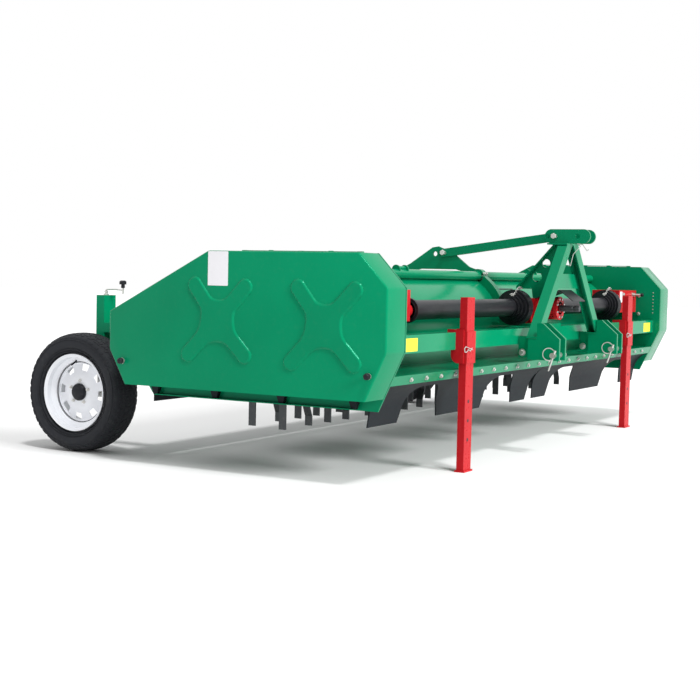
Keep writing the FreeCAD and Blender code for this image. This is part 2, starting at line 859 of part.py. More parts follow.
def rotor_drum():
    """Drum with journals, and a row of lug pairs at each quarter turn."""
    body = new_body("rotor_drum")
    drum = new_sketch(body, "x")
    draw_circle(drum, 0, 0, D.drum_dia)
    pad(body, drum, (PLATE_INNER - D.drum_end_gap) * 2)
    journal = new_sketch(body, "x")
    draw_circle(journal, 0, 0, D.journal_dia)
    pad(body, journal, (INNER_HALF + D.pulley_edge_gap + D.pulley_width) * 2)
    for index, (front, up) in enumerate(FLAIL_ROWS.values()):
        start = row_start(index)
        along = (front * DIAGONAL, up * DIAGONAL)
        across = (-along[1], along[0])
        root_r = D.drum_dia / 2 - D.lug_thick
        tip_r = D.flail_circle + D.flail_pin_dia

        def patch(inner, outer, half):
            """Four corners between two radii, square to the row's own radius."""
            return [(along[0] * r + across[0] * w, along[1] * r + across[1] * w)
                    for r, w in ((inner, -half), (outer, -half), (outer, half), (inner, half))]

        lug = new_sketch(body, "x", lift=start)
        draw(lug, patch(root_r, tip_r, D.lug_width / 2))
        lug_pad = pad(body, lug, LUG_HALF * 2)
        gap = new_sketch(body, "x", lift=start)
        draw(gap, patch(D.drum_dia / 2 + D.lug_thick, tip_r + D.lug_thick, D.lug_width))
        gap_cut = pocket(body, gap, LUG_GAP)
        hole = new_sketch(body, "x", lift=start)
        draw_circle(hole, along[0] * D.flail_circle, along[1] * D.flail_circle, D.flail_pin_dia)
        hole_cut = pocket(body, hole, LUG_HALF * 4)
        pattern = body.newObject("PartDesign::LinearPattern", f"lug_row_{index}")
        pattern.Originals = [lug_pad, gap_cut, hole_cut]
        pattern.Direction = (origin_feature(body, "X_Axis"), [""])
        pattern.Occurrences = FLAILS_PER_ROW
        bind(pattern, "Length", D.flail_pitch * (FLAILS_PER_ROW - 1))
        body.Tip = pattern
        doc.recompute()
    place(body, y=ROTOR_Y, z=D.rotor_z)


def repeat(body, feature, pitch, count):
    """Repeat a solid of the body along the machine."""
    pattern = body.newObject("PartDesign::LinearPattern", f"{body.Name}_row")
    pattern.Originals = [feature]
    pattern.Direction = (origin_feature(body, "X_Axis"), [""])
    pattern.Occurrences = count
    bind(pattern, "Length", pitch * (count - 1))
    body.Tip = pattern
    doc.recompute()


def flail_outline(middle, bend):
    """A knife's front view: its lower part is set over sideways by the bend."""
    half = D.flail_thick / 2
    top, knee = D.flail_width / 2, D.flail_length * -0.55
    elbow, tip = D.flail_length * -0.8, D.flail_length * -1
    low = middle + bend
    return [
        (middle - half, top), (middle - half, knee), (low - half, elbow), (low - half, tip),
        (low + half, tip), (low + half, elbow), (middle + half, knee), (middle + half, top),
    ]


def flail_row(label, index, front, up):
    """A row of hanging flails with their pins: every other one is set over, to either side in turn."""
    body = new_body(label)
    for first, bend in ((0, 0), (1, 1), (3, -1)):
        sketch = new_sketch(body, "y")
        draw(sketch, flail_outline(row_start(index) + D.flail_pitch * first, D.flail_bend * bend))
        knife = pad(body, sketch, D.flail_width)
        step = 2 if bend == 0 else 4
        repeat(body, knife, D.flail_pitch * step, (FLAILS_PER_ROW - first + step - 1) // step)
    pin = new_sketch(body, "x", lift=row_start(index))
    draw_circle(pin, 0, 0, D.flail_pin_dia)
    repeat(body, pad(body, pin, LUG_HALF * 2), D.flail_pitch, FLAILS_PER_ROW)
    place(body, y=ROTOR_Y + front * DIAGONAL * D.flail_circle,
          z=D.rotor_z + up * DIAGONAL * D.flail_circle)


def rotor_bearing(name, side):
    """Flanged bearing on the end plate's outside."""
    width = D.pulley_edge_gap - D.shaft_room
    start = along_side(side, INNER_HALF, INNER_HALF + width)
    outer = rod(f"{name}_bearing_body", "x", (start, ROTOR_Y, D.rotor_z), D.journal_dia + 70, width)
    bore = rod(f"{name}_bearing_bore", "x", (start, ROTOR_Y, D.rotor_z),
               D.journal_dia + D.running_gap * 2, width)
    return cut(f"{name}_rotor_bearing", outer, [bore])


rotor_drum()
for row_index, (row_name, (row_front, row_up)) in enumerate(FLAIL_ROWS.items()):
    flail_row(f"flails_{row_name}", row_index, row_front, row_up)
group("rotor_bearings", [rotor_bearing(name, side) for name, side in SIDES.items()])

# ---------------------------------------------------------------- drive line

BELT_COUNT = 4


def gearbox():
    """Bevel gearbox with an output flange on each side and a nose for the input shaft."""
    half = D.gearbox_width / 2
    case = block("gearbox_case", (-half, GEARBOX_FRONT, GEARBOX_BOTTOM),
                 (D.gearbox_width, D.gearbox_length, GEARBOX_TOP - GEARBOX_BOTTOM))
    outputs = rod("gearbox_outputs", "x", (-D.output_reach, DRIVE_Y, D.drive_z),
                  D.gearbox_flange_dia, D.output_reach * 2)
    nose = rod("gearbox_nose", "y", (0, NOSE_FRONT, D.drive_z),
               D.gearbox_nose_dia, DRIVE_Y - NOSE_FRONT)
    flange = rod("gearbox_nose_flange", "y", (0, NOSE_FRONT, D.drive_z),
                 D.nose_flange_dia, D.gearbox_flange)
    journal_dia = D.shaft_dia + D.journal_step
    bore = rod("gearbox_bore", "y", (0, NOSE_FRONT, D.drive_z),
               journal_dia + D.running_gap * 2, D.input_hold + D.shaft_room)
    solid = join("gearbox_solid", [case, outputs, nose, flange])
    keep("gearbox", cut("gearbox", solid, [bore]))
    keep("gearbox_mount", block("gearbox_mount", (-D.mount_width / 2, D.beam_front, BEAM_TOP),
                                (D.mount_width, D.hood_front - D.beam_front, D.mount_plate)))
    start = DRIVE_Y - D.input_reach
    keep("input_shaft", join("input_shaft", [
        rod("input_stub", "y", (0, start, D.drive_z), D.shaft_dia, NOSE_FRONT - start),
        rod("input_journal", "y", (0, NOSE_FRONT, D.drive_z), journal_dia, D.input_hold),
    ]))


def pto_shield():
    """Bent plate over the input shaft, from the top of the gearbox forwards and down."""
    tip = DRIVE_Y - D.input_reach + D.shield_plate
    rear = GEARBOX_FRONT + D.shield_plate * 2
    outline = [
        (rear, GEARBOX_TOP),
        (rear, GEARBOX_TOP + D.shield_plate),
        (GEARBOX_FRONT, GEARBOX_TOP + D.shield_plate),
        (-D.shield_ridge_y, D.shield_ridge_z + D.shield_plate),
        (tip, D.shield_tip_z + D.shield_plate),
        (tip, D.shield_tip_z),
        (-D.shield_ridge_y, D.shield_ridge_z),
        (GEARBOX_FRONT, GEARBOX_TOP),
    ]
    plate("pto_shield", "x", outline, D.shield_half * 2)


def half_shaft_guard(name, side):
    """Plastic tube over a half-shaft: a stepped bell at the end towards the machine's left."""
    inner = D.output_reach + D.guard_gap
    outer = HOUSING_INNER - D.boss_length - D.guard_gap
    if side > 0:
        outer = outer - D.left_guard_short
    low = along_side(side, inner, outer)
    high = low + outer - inner
    step = D.bell_length / 6
    tube_end = high - D.bell_length
    bell = D.bell_dia / 2
    steps = [(tube_end, bell * 0.63), (tube_end + step, bell * 0.74), (tube_end + step * 2, bell * 0.87),
             (tube_end + step * 3, bell)]
    outside = [(low, D.guard_dia / 2)]
    inside = [(low, D.guard_dia / 2 - D.guard_wall)]
    for x, radius in steps:
        outside += [(x, outside[-1][1]), (x, radius)]
        inside += [(x + D.guard_wall, inside[-1][1]), (x + D.guard_wall, radius - D.guard_wall)]
    profile = outside + [(high, bell), (high, bell - D.guard_wall)] + inside[::-1]
    return piece_of(revolve(f"{name}_half_shaft_guard", profile, y=DRIVE_Y, z=D.drive_z))


def bearing_housing(name, side):
    """Red box bracket on the end plate's inside, with a boss round the half-shaft."""
    body = new_body(f"{name}_bearing_housing")
    sketch = new_sketch(body, "x")
    draw(sketch, rectangle(DRIVE_Y - D.housing_front, D.hood_front - D.housing_gap,
                           D.drive_z - D.housing_below, D.drive_z + D.housing_above))
    length = D.housing_length
    pad(body, sketch, length)
    hollow(body, D.housing_wall, [(side, 0, 0)])
    boss = new_sketch(body, "x", lift=side * -(length / 2))
    draw_circle(boss, DRIVE_Y, D.drive_z, D.boss_dia)
    pad(body, boss, D.boss_length * 2)
    bore = new_sketch(body, "x", lift=side * -(length / 2))
    draw_circle(bore, DRIVE_Y, D.drive_z, D.shaft_dia + D.running_gap * 2)
    pocket(body, bore, D.boss_length * 3)
    place(body, x=side * (HOUSING_INNER + length / 2))


def half_shaft(name, side):
    """Shaft from the gearbox through the housing and the end plate to the drive pulley."""
    inner = D.output_reach + D.guard_gap / 2
    outer = PULLEY_START + D.pulley_width
    keep(f"{name}_half_shaft", rod(f"{name}_half_shaft", "x",
                                   (along_side(side, inner, outer), DRIVE_Y, D.drive_z),
                                   D.shaft_dia, outer - inner))


def pulley(label, side, y, z, diameter, bore):
    """Pulley with a groove for each belt."""
    profile = [(0, bore / 2), (0, diameter / 2)]
    edge = (D.pulley_width - D.belt_pitch * (BELT_COUNT - 1) - D.belt_width) / 2 - D.belt_gap * 2
    for index in range(BELT_COUNT):
        groove = edge + D.belt_pitch * index
        profile += [
            (groove, diameter / 2),
            (groove, diameter / 2 - D.belt_depth),
            (groove + D.belt_width + D.belt_gap * 4, diameter / 2 - D.belt_depth),
            (groove + D.belt_width + D.belt_gap * 4, diameter / 2),
        ]
    profile += [(D.pulley_width, diameter / 2), (D.pulley_width, bore / 2)]
    revolve(label, profile, x=along_side(side, PULLEY_START, PULLEY_START + D.pulley_width), y=y, z=z)


def draw_belt_line(sketch, radii):
    """A line round both pulleys: two arcs joined by two straight runs."""
    centres = [(DRIVE_Y, D.drive_z), (ROTOR_Y, D.rotor_z)]
    drive, driven = [Vector(y.value, z.value, 0) for y, z in centres]
    span = driven - drive
    heading = math.atan2(span.y, span.x)
    spread = math.acos((radii[0].value - radii[1].value) / span.Length)

    def rim_point(centre, radius, angle):
        return centre + Vector(math.cos(angle), math.sin(angle), 0) * radius.value

    def arc(centre, radius, start, end):
        circle = Part.Circle(centre, Vector(0, 0, 1), radius.value)
        return sketch.addGeometry(Part.ArcOfCircle(circle, start, end))

    def run(start, end):
        return sketch.addGeometry(Part.LineSegment(start, end))

    arcs = [arc(drive, radii[0], heading + spread, heading - spread + math.pi * 2),
            arc(driven, radii[1], heading - spread, heading + spread)]
    upper = run(rim_point(driven, radii[1], heading + spread), rim_point(drive, radii[0], heading + spread))
    lower = run(rim_point(drive, radii[0], heading - spread), rim_point(driven, radii[1], heading - spread))
    for first, second in ((arcs[1], upper), (upper, arcs[0]), (arcs[0], lower), (lower, arcs[1])):
        sketch.addConstraint(Sketcher.Constraint("Tangent", first, 2, second, 1))
    for geometry, centre, radius in zip(arcs, centres, radii):
        pin_point(sketch, geometry, 3, *centre)
        index = sketch.addConstraint(Sketcher.Constraint("Radius", geometry, radius.value))
        bind(sketch, f"Constraints[{index}]", radius)


def belts(name, side):
    """The belts from the half-shaft's pulley to the rotor's."""
    inner = [number / 2 - D.belt_depth + D.belt_gap for number in (D.drive_pulley_dia, D.rotor_pulley_dia)]
    body = new_body(f"{name}_belts")
    sketch = new_sketch(body, "x")
    draw_belt_line(sketch, [radius + D.belt_depth for radius in inner])
    draw_belt_line(sketch, inner)
    repeat(body, pad(body, sketch, D.belt_width), D.belt_pitch, BELT_COUNT)
    middle = PULLEY_START + D.pulley_width / 2
    place(body, x=side * middle - D.belt_pitch * (BELT_COUNT - 1) / 2)


gearbox()
pto_shield()
for side_name, side_sign in SIDES.items():
    bearing_housing(side_name, side_sign)
    half_shaft(side_name, side_sign)
    pulley(f"{side_name}_drive_pulley", side_sign, DRIVE_Y, D.drive_z, D.drive_pulley_dia, D.shaft_dia)
    pulley(f"{side_name}_rotor_pulley", side_sign, ROTOR_Y, D.rotor_z, D.rotor_pulley_dia, D.journal_dia)
    belts(side_name, side_sign)
group("half_shaft_guards", [half_shaft_guard(name, side) for name, side in SIDES.items()])

# ---------------------------------------------------------------- headstock


def hitch_bracket(name, side):
    """Two clevis plates hung from the cap that the mast's leg stands on, and a stub to the beam."""
    rear = D.beam_front - D.clevis_rear
    leg_start = LEG_FRONT - D.leg_margin
    outline = [
        (rear, D.clevis_bottom),
        (CLEVIS_FRONT, D.clevis_bottom),
        (CLEVIS_FRONT, D.clevis_top - D.clevis_chamfer_drop),
        (CLEVIS_FRONT + D.clevis_chamfer, D.clevis_top),
        (leg_start, D.clevis_top),
        (leg_start, D.clevis_cap_z),
        (rear, D.clevis_cap_z),
    ]
    pieces = []
    offset = (D.clevis_gap + D.clevis_plate) / 2
    for step in (-1, 1):
        pieces.append(piece_of(plate(
            f"{name}_cheek_{step + 1}", "x", outline, D.clevis_plate,
            holes=[(HITCH_PIN_Y, D.hitch_pin_z, D.hitch_pin_dia)],
            x=side * D.hitch_half + step * offset)))
    width = D.clevis_gap + D.clevis_plate * 2
    cap_length = LEG_Y + D.leg_depth / 2 - leg_start
    pieces.append(block(f"{name}_hitch_cap", (side * D.hitch_half - width / 2, leg_start, D.clevis_cap_z),
                        (width, cap_length, D.cap_plate)))
    stub_low = D.clevis_bottom + D.cap_plate
    pieces.append(block(f"{name}_hitch_stub",
                        (side * D.hitch_half - D.stub_width / 2, leg_start, stub_low),
                        (D.stub_width, D.beam_front - leg_start, D.clevis_cap_z + D.cap_plate - stub_low)))
    keep(f"{name}_hitch_bracket", join(f"{name}_hitch_bracket", pieces))


def hitch_pin(name, side):
    length = D.clevis_gap + D.clevis_plate * 2 + D.hitch_pin_over * 2
    return rod(f"{name}_hitch_pin", "x", (side * D.hitch_half - length / 2, HITCH_PIN_Y, D.hitch_pin_z),
               D.hitch_pin_dia, length)


def leg_x(height):
    """How far out the middle of a mast leg is at a height."""
    share = (height - LEG_FOOT_Z) / (D.mast_cap_z - LEG_FOOT_Z)
    return D.hitch_half - (D.hitch_half - D.leg_top_half) * share


def mast_leg(name, side):
    """Channel that leans in from the hitch bracket to the mast's cap, open towards the middle."""
    half = D.leg_width / 2

    def strip(outer, inner, low, high):
        return [(side * (leg_x(low) + outer), low), (side * (leg_x(low) - inner), low),
                (side * (leg_x(high) - inner), high), (side * (leg_x(high) + outer), high)]

    body = new_body(f"{name}_mast_leg")
    sketch = new_sketch(body, "y")
    draw(sketch, strip(half, half, LEG_FOOT_Z, D.mast_cap_z))
    pad(body, sketch, D.leg_depth)
    channel = new_sketch(body, "y")
    over = D.leg_width
    draw(channel, strip(half - D.leg_wall * 1.3, half + over, LEG_FOOT_Z - over, D.mast_cap_z + over))
    pocket(body, channel, D.leg_depth - D.leg_wall * 2)
    place(body, y=LEG_Y)


def mast_head():
    """Cap across both legs with the two upright plates that take the top link."""
    middle, end = HEAD_Z, D.mast_plate_height / 2
    low, high = middle - end, middle + end
    front, rear = LEG_Y - D.mast_plate_front, LEG_Y + D.mast_plate_rear
    outline = [
        (front + end, low, end, 1),
        (rear - end, low),
        (rear, middle, end, 1),
        (rear - end, high, end, 1),
        (front + end, high),
        (front, middle, end, 1),
    ]
    holes = [(LEG_Y - D.top_pin_reach, middle, D.top_pin_bore), (TIE_FRONT_Y, middle, D.tie_pin_dia),
             (LEG_Y + D.spare_pin_back, middle, D.tie_pin_dia)]
    pieces = []
    offset = (D.mast_plate_gap + D.mast_plate_thick) / 2
    for step in (-1, 1):
        pieces.append(piece_of(plate(f"mast_cheek_{step + 1}", "x", outline, D.mast_plate_thick,
                                     holes=holes, x=step * offset)))
    pieces.append(block("mast_cap", (-D.mast_cap_half, LEG_FRONT, D.mast_cap_z),
                        (D.mast_cap_half * 2, D.leg_depth / 2 + D.brace_rear + D.cap_plate * 2,
                         D.cap_plate)))
    keep("mast_head", join("mast_head", pieces))


def cross_plate():
    """Plate between the mast's legs, on the front of their rear flanges."""
    inset = D.cross_plate_lap - D.leg_width / 2
    back = D.leg_depth / 2 - D.leg_wall
    high = D.mast_cap_z - D.cross_plate_top
    low = high - D.cross_plate_height
    outline = [(-(leg_x(low) + inset), low), (leg_x(low) + inset, low),
               (leg_x(high) + inset, high), (-(leg_x(high) + inset), high)]
    plate("mast_cross_plate", "y", outline, D.cap_plate, y=LEG_Y + back - D.cap_plate / 2)


def mast_brace():
    """Web from the mast's cap back and down to the gearbox, with a broad bar on its rear edge."""
    top = D.mast_cap_z
    front_top = LEG_Y + D.brace_front
    rear_top = LEG_Y + D.brace_rear
    rear_low = rear_top + D.brace_run
    foot_front = rear_low - D.brace_foot
    drop = top - D.brace_foot_z

    def hole(share, forward, diameter):
        """A round hole in front of the bar, at a share of the bar's length from the top."""
        return (rear_top + D.brace_run * share - forward, top - drop * share, diameter)

    web = plate("brace_web", "x", [
        (front_top, top),
        (rear_top, top),
        (rear_low, D.brace_foot_z),
        (foot_front, D.brace_foot_z),
        (GEARBOX_FRONT + D.gearbox_length * 0.3, GEARBOX_TOP),
        (GEARBOX_FRONT + D.shield_plate * 4, GEARBOX_TOP),
        (front_top, GEARBOX_TOP + (top - GEARBOX_TOP) * 0.56),
    ], D.cap_plate, holes=[hole(0.43, 37, 46), hole(0.75, 52, 54)])
    bar = plate("brace_bar", "x", [
        (rear_top, top),
        (rear_low, D.brace_foot_z),
        (foot_front, D.brace_foot_z),
        (foot_front, D.brace_foot_z - D.cap_plate),
        (rear_low + D.cap_plate, D.brace_foot_z - D.cap_plate),
        (rear_low + D.cap_plate, D.brace_foot_z + D.cap_plate / 2),
        (rear_top + D.cap_plate, top),
    ], D.brace_bar)
    keep("mast_brace", join("mast_brace", [piece_of(web), piece_of(bar)]))


def top_tie():
    """Two flats with a spacer, from the mast's head back to the ear on the hood."""
    run = TIE_REAR_Y - TIE_FRONT_Y
    fall = TIE_REAR_Z - HEAD_Z
    length = root(run * run + fall * fall)
    along = (run / length, fall / length)
    half = D.tie_height / 2

    def point(distance, offset):
        return (TIE_FRONT_Y + along[0] * distance - along[1] * offset,
                HEAD_Z + along[1] * distance + along[0] * offset)

    outline = [point(-half, -half), point(length + half, -half), point(length + half, half),
               point(-half, half)]
    holes = [(TIE_FRONT_Y, HEAD_Z, D.tie_pin_dia), (TIE_REAR_Y, TIE_REAR_Z, D.tie_pin_dia)]
    pieces = []
    offset = (D.ear_thick + D.tie_flat) / 2
    for step in (-1, 1):
        pieces.append(piece_of(plate(f"tie_flat_{step + 1}", "x", outline, D.tie_flat, holes=holes,
                                     x=step * offset)))
    for spot, distance in enumerate((length * 0.85, length * 0.5)):
        spacer = [point(distance, -half), point(distance + half, -half),
                  point(distance + half, half), point(distance, half)]
        pieces.append(piece_of(plate(f"tie_spacer_{spot}", "x", spacer, D.ear_thick)))
    keep("top_tie", join("top_tie", pieces))
    front_length = D.mast_plate_gap + (D.mast_plate_thick + D.tie_pin_over) * 2
    rear_length = D.ear_thick + (D.tie_flat + D.tie_pin_over) * 2
    group("tie_pins", [
        rod("tie_pin_front", "x", (-front_length / 2, TIE_FRONT_Y, HEAD_Z),
            D.tie_pin_dia, front_length),
        rod("tie_pin_rear", "x", (-rear_length / 2, TIE_REAR_Y, TIE_REAR_Z),
            D.tie_pin_dia, rear_length),
    ])


def tie_ear():
    """Bridging plate over the hood, on a collar round each top tube."""
    front, rear = FRONT_TUBE_Y, REAR_TUBE_Y
    collar = D.collar_dia / 2
    under = HOOD_TOP + D.tie_flat * 2
    web = plate("ear_web", "x", [
        (front + 12, TUBE_Z + collar - 4),
        (front + collar, TUBE_Z + 6),
        (front + D.tube_inset, under),
        (rear - D.tube_inset, under),
        (rear - collar, TUBE_Z + 6),
        (rear - 12, TUBE_Z + collar - 4),
        (rear - collar * 1.8, TIE_REAR_Z - D.tie_height * 1.4),
        (TIE_REAR_Y + 78, TIE_REAR_Z + 30),
        (TIE_REAR_Y + 40, TIE_REAR_Z + 36),
        (TIE_REAR_Y - 50, TIE_REAR_Z + 2),
        (front + 60, TUBE_Z + collar * 1.3),
    ], D.ear_thick, holes=[(TIE_REAR_Y, TIE_REAR_Z, D.tie_pin_dia),
                           (TIE_REAR_Y + 61, TIE_REAR_Z - 6, D.lift_hole_dia)])
    pieces = [piece_of(web)]
    spaces = []
    for spot, y in (("front", FRONT_TUBE_Y), ("rear", REAR_TUBE_Y)):
        start = (-D.collar_width / 2, y, TUBE_Z)
        pieces.append(rod(f"{spot}_collar", "x", start, D.collar_dia, D.collar_width))
        spaces.append(rod(f"{spot}_collar_bore", "x", (-D.collar_width, y, TUBE_Z),
                          D.top_tube_dia, D.collar_width * 2))
    solid = join("ear_solid", pieces)
    under = block("ear_underside", (-D.collar_width, FRONT_TUBE_Y - 60, HOOD_TOP - 200),
                  (D.collar_width * 2, REAR_TUBE_Y - FRONT_TUBE_Y + 120, 200))
    keep("tie_ear", cut("tie_ear", solid, spaces + [under]))


for side_name, side_sign in SIDES.items():
    hitch_bracket(side_name, side_sign)
    mast_leg(side_name, side_sign)
group("hitch_pins", [hitch_pin(name, side) for name, side in SIDES.items()])
mast_head()
cross_plate()
mast_brace()
top_tie()
tie_ear()

# ---------------------------------------------------------------- parking stands

def stand_bracket(name, side):
    """Sleeve for the stand on a back plate, with side plates that hook over and under the beam."""
    x = side * STAND_HALF
    middle_z = SLEEVE_BOTTOM + D.sleeve_height / 2
    sleeve = tube(f"{name}_sleeve", "z", -SLEEVE_HALF_WIDTH, SLEEVE_HALF_WIDTH,
                  -SLEEVE_HALF_DEPTH, SLEEVE_HALF_DEPTH, D.sleeve_wall, D.sleeve_height,
                  x=x, y=STAND_Y, z=middle_z)
    back = block(f"{name}_sleeve_back",
                 (x - SLEEVE_HALF_WIDTH, D.beam_front - D.sleeve_back, SLEEVE_BOTTOM),
                 (SLEEVE_HALF_WIDTH * 2, D.sleeve_back, D.sleeve_height))
    front = D.beam_front - D.hook_front
    lobe = D.beam_front + D.lobe_back
    hook_top = BEAM_TOP + D.hook_rise
    hook_rear = BEAM_REAR - D.hook_lap
    outline = [
        (front, SLEEVE_BOTTOM),
        (lobe - D.lobe_radius, SLEEVE_BOTTOM),
        (lobe, SLEEVE_BOTTOM + D.lobe_radius, D.lobe_radius, 1),
        (lobe, D.beam_bottom),
        (D.beam_front, D.beam_bottom),
        (D.beam_front, BEAM_TOP),
        (hook_rear, BEAM_TOP),
        (hook_rear, hook_top),
        (front, hook_top),
    ]
    pieces = [piece_of(sleeve), back]
    for step in (-1, 1):
        pieces.append(piece_of(plate(f"{name}_hook_{step + 1}", "x", outline, D.hook_plate,
                                     x=x + step * (SLEEVE_HALF_WIDTH + D.hook_plate / 2))))
    keep(f"{name}_stand_bracket", join(f"{name}_stand_bracket", pieces))


def stand_leg(name, side):
    """Flat box tube with a foot, which slides in the sleeve."""
    half_w, half_d = D.stand_width / 2, D.stand_depth / 2
    post = tube(f"{name}_stand_tube", "z", -half_w, half_w, -half_d, half_d, D.stand_wall,
                D.stand_height - D.foot_plate, x=side * STAND_HALF, y=STAND_Y,
                z=(D.stand_height + D.foot_plate) / 2)
    foot_w, foot_d = half_w + D.foot_over, half_d + D.foot_over
    foot = block(f"{name}_foot", (side * STAND_HALF - foot_w, STAND_Y - foot_d, 0),
                 (foot_w * 2, foot_d * 2, D.foot_plate))
    keep(f"{name}_stand_leg", join(f"{name}_stand_leg", [piece_of(post), foot]))


for side_name, side_sign in SIDES.items():
    stand_bracket(side_name, side_sign)
    stand_leg(side_name, side_sign)

# ---------------------------------------------------------------- depth wheels

def wheel_post(name, side):
    """Upright box tube that the wheel's leg slides in, on an arm from the rear beam."""
    half_w, half_d = D.post_width / 2, D.post_depth / 2
    post = tube(f"{name}_post_tube", "z", -half_w, half_w, -half_d, half_d, D.post_wall,
                D.post_top - D.post_bottom, x=side * POST_HALF, y=WHEEL_Y,
                z=(D.post_top + D.post_bottom) / 2)
    arm_start = REAR_BEAM_FRONT + D.beam_side
    arm = block(f"{name}_post_arm", (side * POST_HALF - D.post_width / 2, arm_start, D.rear_beam_bottom),
                (D.post_width, POST_FRONT - arm_start, D.beam_side * 0.6))
    cap = block(f"{name}_post_cap",
                (side * POST_HALF - D.post_width / 2, POST_FRONT, D.post_top),
                (D.post_width, D.post_depth, 5))
    keep(f"{name}_wheel_post", join(f"{name}_wheel_post", [piece_of(post), arm, cap]))


def depth_crank(name, side):
    """Crank on the post's top that winds the wheel's leg up and down."""
    x = side * POST_HALF
    top = D.post_top + 5
    neck = rod(f"{name}_crank_neck", "z", (x, WHEEL_Y, top), 28, 16)
    arm = block(f"{name}_crank_arm", (x - 11, WHEEL_Y - D.crank_arm, top + 10),
                (22, D.crank_arm + 11, 6))
    spindle = rod(f"{name}_crank_spindle", "z", (x, WHEEL_Y - D.crank_arm + 8, top + 10),
                  9, D.crank_rise)
    knob = rod(f"{name}_crank_knob", "z", (x, WHEEL_Y - D.crank_arm + 8, top + D.crank_rise - 8), 36, 26)
    return join(f"{name}_depth_crank", [neck, arm, spindle, knob])


def wheel_leg(name, side):
    """Inner box tube with the stub axle at its foot."""
    gap = D.post_wall + D.leg_gap
    half_w, half_d = D.post_width / 2 - gap, D.post_depth / 2 - gap
    foot = WHEEL_Z - D.axle_dia
    post = tube(f"{name}_leg_tube", "z", -half_w, half_w, -half_d, half_d, D.wheel_leg_wall,
                WHEEL_LEG_TOP - foot, x=side * POST_HALF, y=WHEEL_Y, z=(WHEEL_LEG_TOP + foot) / 2)
    near = POST_HALF + half_w - D.wheel_leg_wall
    far = WHEEL_HALF + D.hub_length / 2 - D.hub_cap * 1.5
    axle = rod(f"{name}_axle", "x", (along_side(side, near, far), WHEEL_Y, WHEEL_Z), D.axle_dia, far - near)
    keep(f"{name}_wheel_leg", join(f"{name}_wheel_leg", [piece_of(post), axle]))


def tyre(name, side):
    """Tyre section: a tread with round shoulders, side walls, and beads between the rim's lips."""
    half = D.tyre_width / 2
    crown = D.tyre_dia / 2
    bead = D.rim_dia / 2
    bead_half = D.rim_width / 2 - D.rim_sheet - 2
    bead_top = bead + D.rim_flange + 2
    shoulder = as_size(26)
    wall = as_size(11)
    revolve(f"{name}_tyre", [
        (-bead_half, bead),
        (-bead_half, bead_top),
        (-half, bead + (crown - bead) * 0.55, (crown - bead) * 0.9, -1),
        (-half + shoulder * 0.35, crown - shoulder),
        (-half + shoulder * 1.35, crown, shoulder * 1.2, -1),
        (half - shoulder * 1.35, crown),
        (half - shoulder * 0.35, crown - shoulder, shoulder * 1.2, -1),
        (half, bead + (crown - bead) * 0.55),
        (bead_half, bead_top, (crown - bead) * 0.9, -1),
        (bead_half, bead),
        (bead_half - wall, bead),
        (bead_half - wall, bead_top),
        (half - wall, bead + (crown - bead) * 0.5, (crown - bead) * 0.9, 1),
        (half - shoulder - wall, crown - wall - 10, shoulder * 2.4, 1),
        (-half + shoulder + wall, crown - wall - 10),
        (-half + wall, bead + (crown - bead) * 0.5, shoulder * 2.4, 1),
        (-bead_half + wall, bead_top, (crown - bead) * 0.9, 1),
        (-bead_half + wall, bead),
    ], x=side * WHEEL_HALF, y=WHEEL_Y, z=WHEEL_Z)


def rim(name, side):
    """Steel rim with its dished disc and hub; the disc is near the rim's outer edge."""
    half = D.rim_width / 2
    seat = D.rim_dia / 2
    lip = seat + D.rim_flange
    sheet_t = D.rim_sheet
    well = seat - D.rim_well
    outward = side
    disc_out = as_size(18)

    def at(distance):
        return outward * as_size(distance)

    ring = revolve(f"{name}_rim_ring", [
        (at(half), lip),
        (at(half), seat - sheet_t),
        (at(half - 38), seat - sheet_t),
        (at(half - 48), well - sheet_t),
        (at(-half + 62), well - sheet_t),
        (at(-half + 34), seat - sheet_t),
        (at(-half), seat - sheet_t),
        (at(-half), lip),
        (at(-half + sheet_t), lip),
        (at(-half + sheet_t), seat),
        (at(-half + 36), seat),
        (at(-half + 64), well),
        (at(half - 50), well),
        (at(half - 40), seat),
        (at(half - sheet_t), seat),
        (at(half - sheet_t), lip),
    ], x=side * WHEEL_HALF, y=WHEEL_Y, z=WHEEL_Z)
    disc = revolve(f"{name}_rim_disc", [
        (at(disc_out), D.hub_dia / 2 - 2),
        (at(disc_out), as_size(84)),
        (at(disc_out - 16), as_size(104)),
        (at(disc_out - 16), well - sheet_t * 0.5),
        (at(disc_out - 22), well - sheet_t * 0.5),
        (at(disc_out - 22), as_size(104)),
        (at(disc_out - 6), as_size(82)),
        (at(disc_out - 6), D.hub_dia / 2 - 2),
    ], x=side * WHEEL_HALF, y=WHEEL_Y, z=WHEEL_Z)
    hub_start = side * WHEEL_HALF - D.hub_length / 2
    hub = rod(f"{name}_hub_solid", "x", (hub_start, WHEEL_Y, WHEEL_Z), D.hub_dia, D.hub_length)
    bore_start = hub_start + (D.hub_cap if side < 0 else 0)
    bore = rod(f"{name}_hub_bore", "x", (bore_start, WHEEL_Y, WHEEL_Z),
               D.axle_dia + D.running_gap * 2, D.hub_length - D.hub_cap)
    windows = []
    for index in range(8):
        angle = math.pi * 2 * (index + 0.5) / 8
        windows.append(rod(f"{name}_window_{index}", "x",
                           (side * WHEEL_HALF - 40, WHEEL_Y + 120 * math.cos(angle),
                            WHEEL_Z + 120 * math.sin(angle)), 24, 80))
    pierced = cut(f"{name}_pierced_disc", piece_of(disc), windows)
    bored = cut(f"{name}_bored_hub", hub, [bore])
    keep(f"{name}_rim", join(f"{name}_rim", [piece_of(ring), pierced, bored]))


for side_name, side_sign in SIDES.items():
    wheel_post(side_name, side_sign)
    wheel_leg(side_name, side_sign)
    tyre(side_name, side_sign)
    rim(side_name, side_sign)
group("depth_cranks", [depth_crank(name, side) for name, side in SIDES.items()])

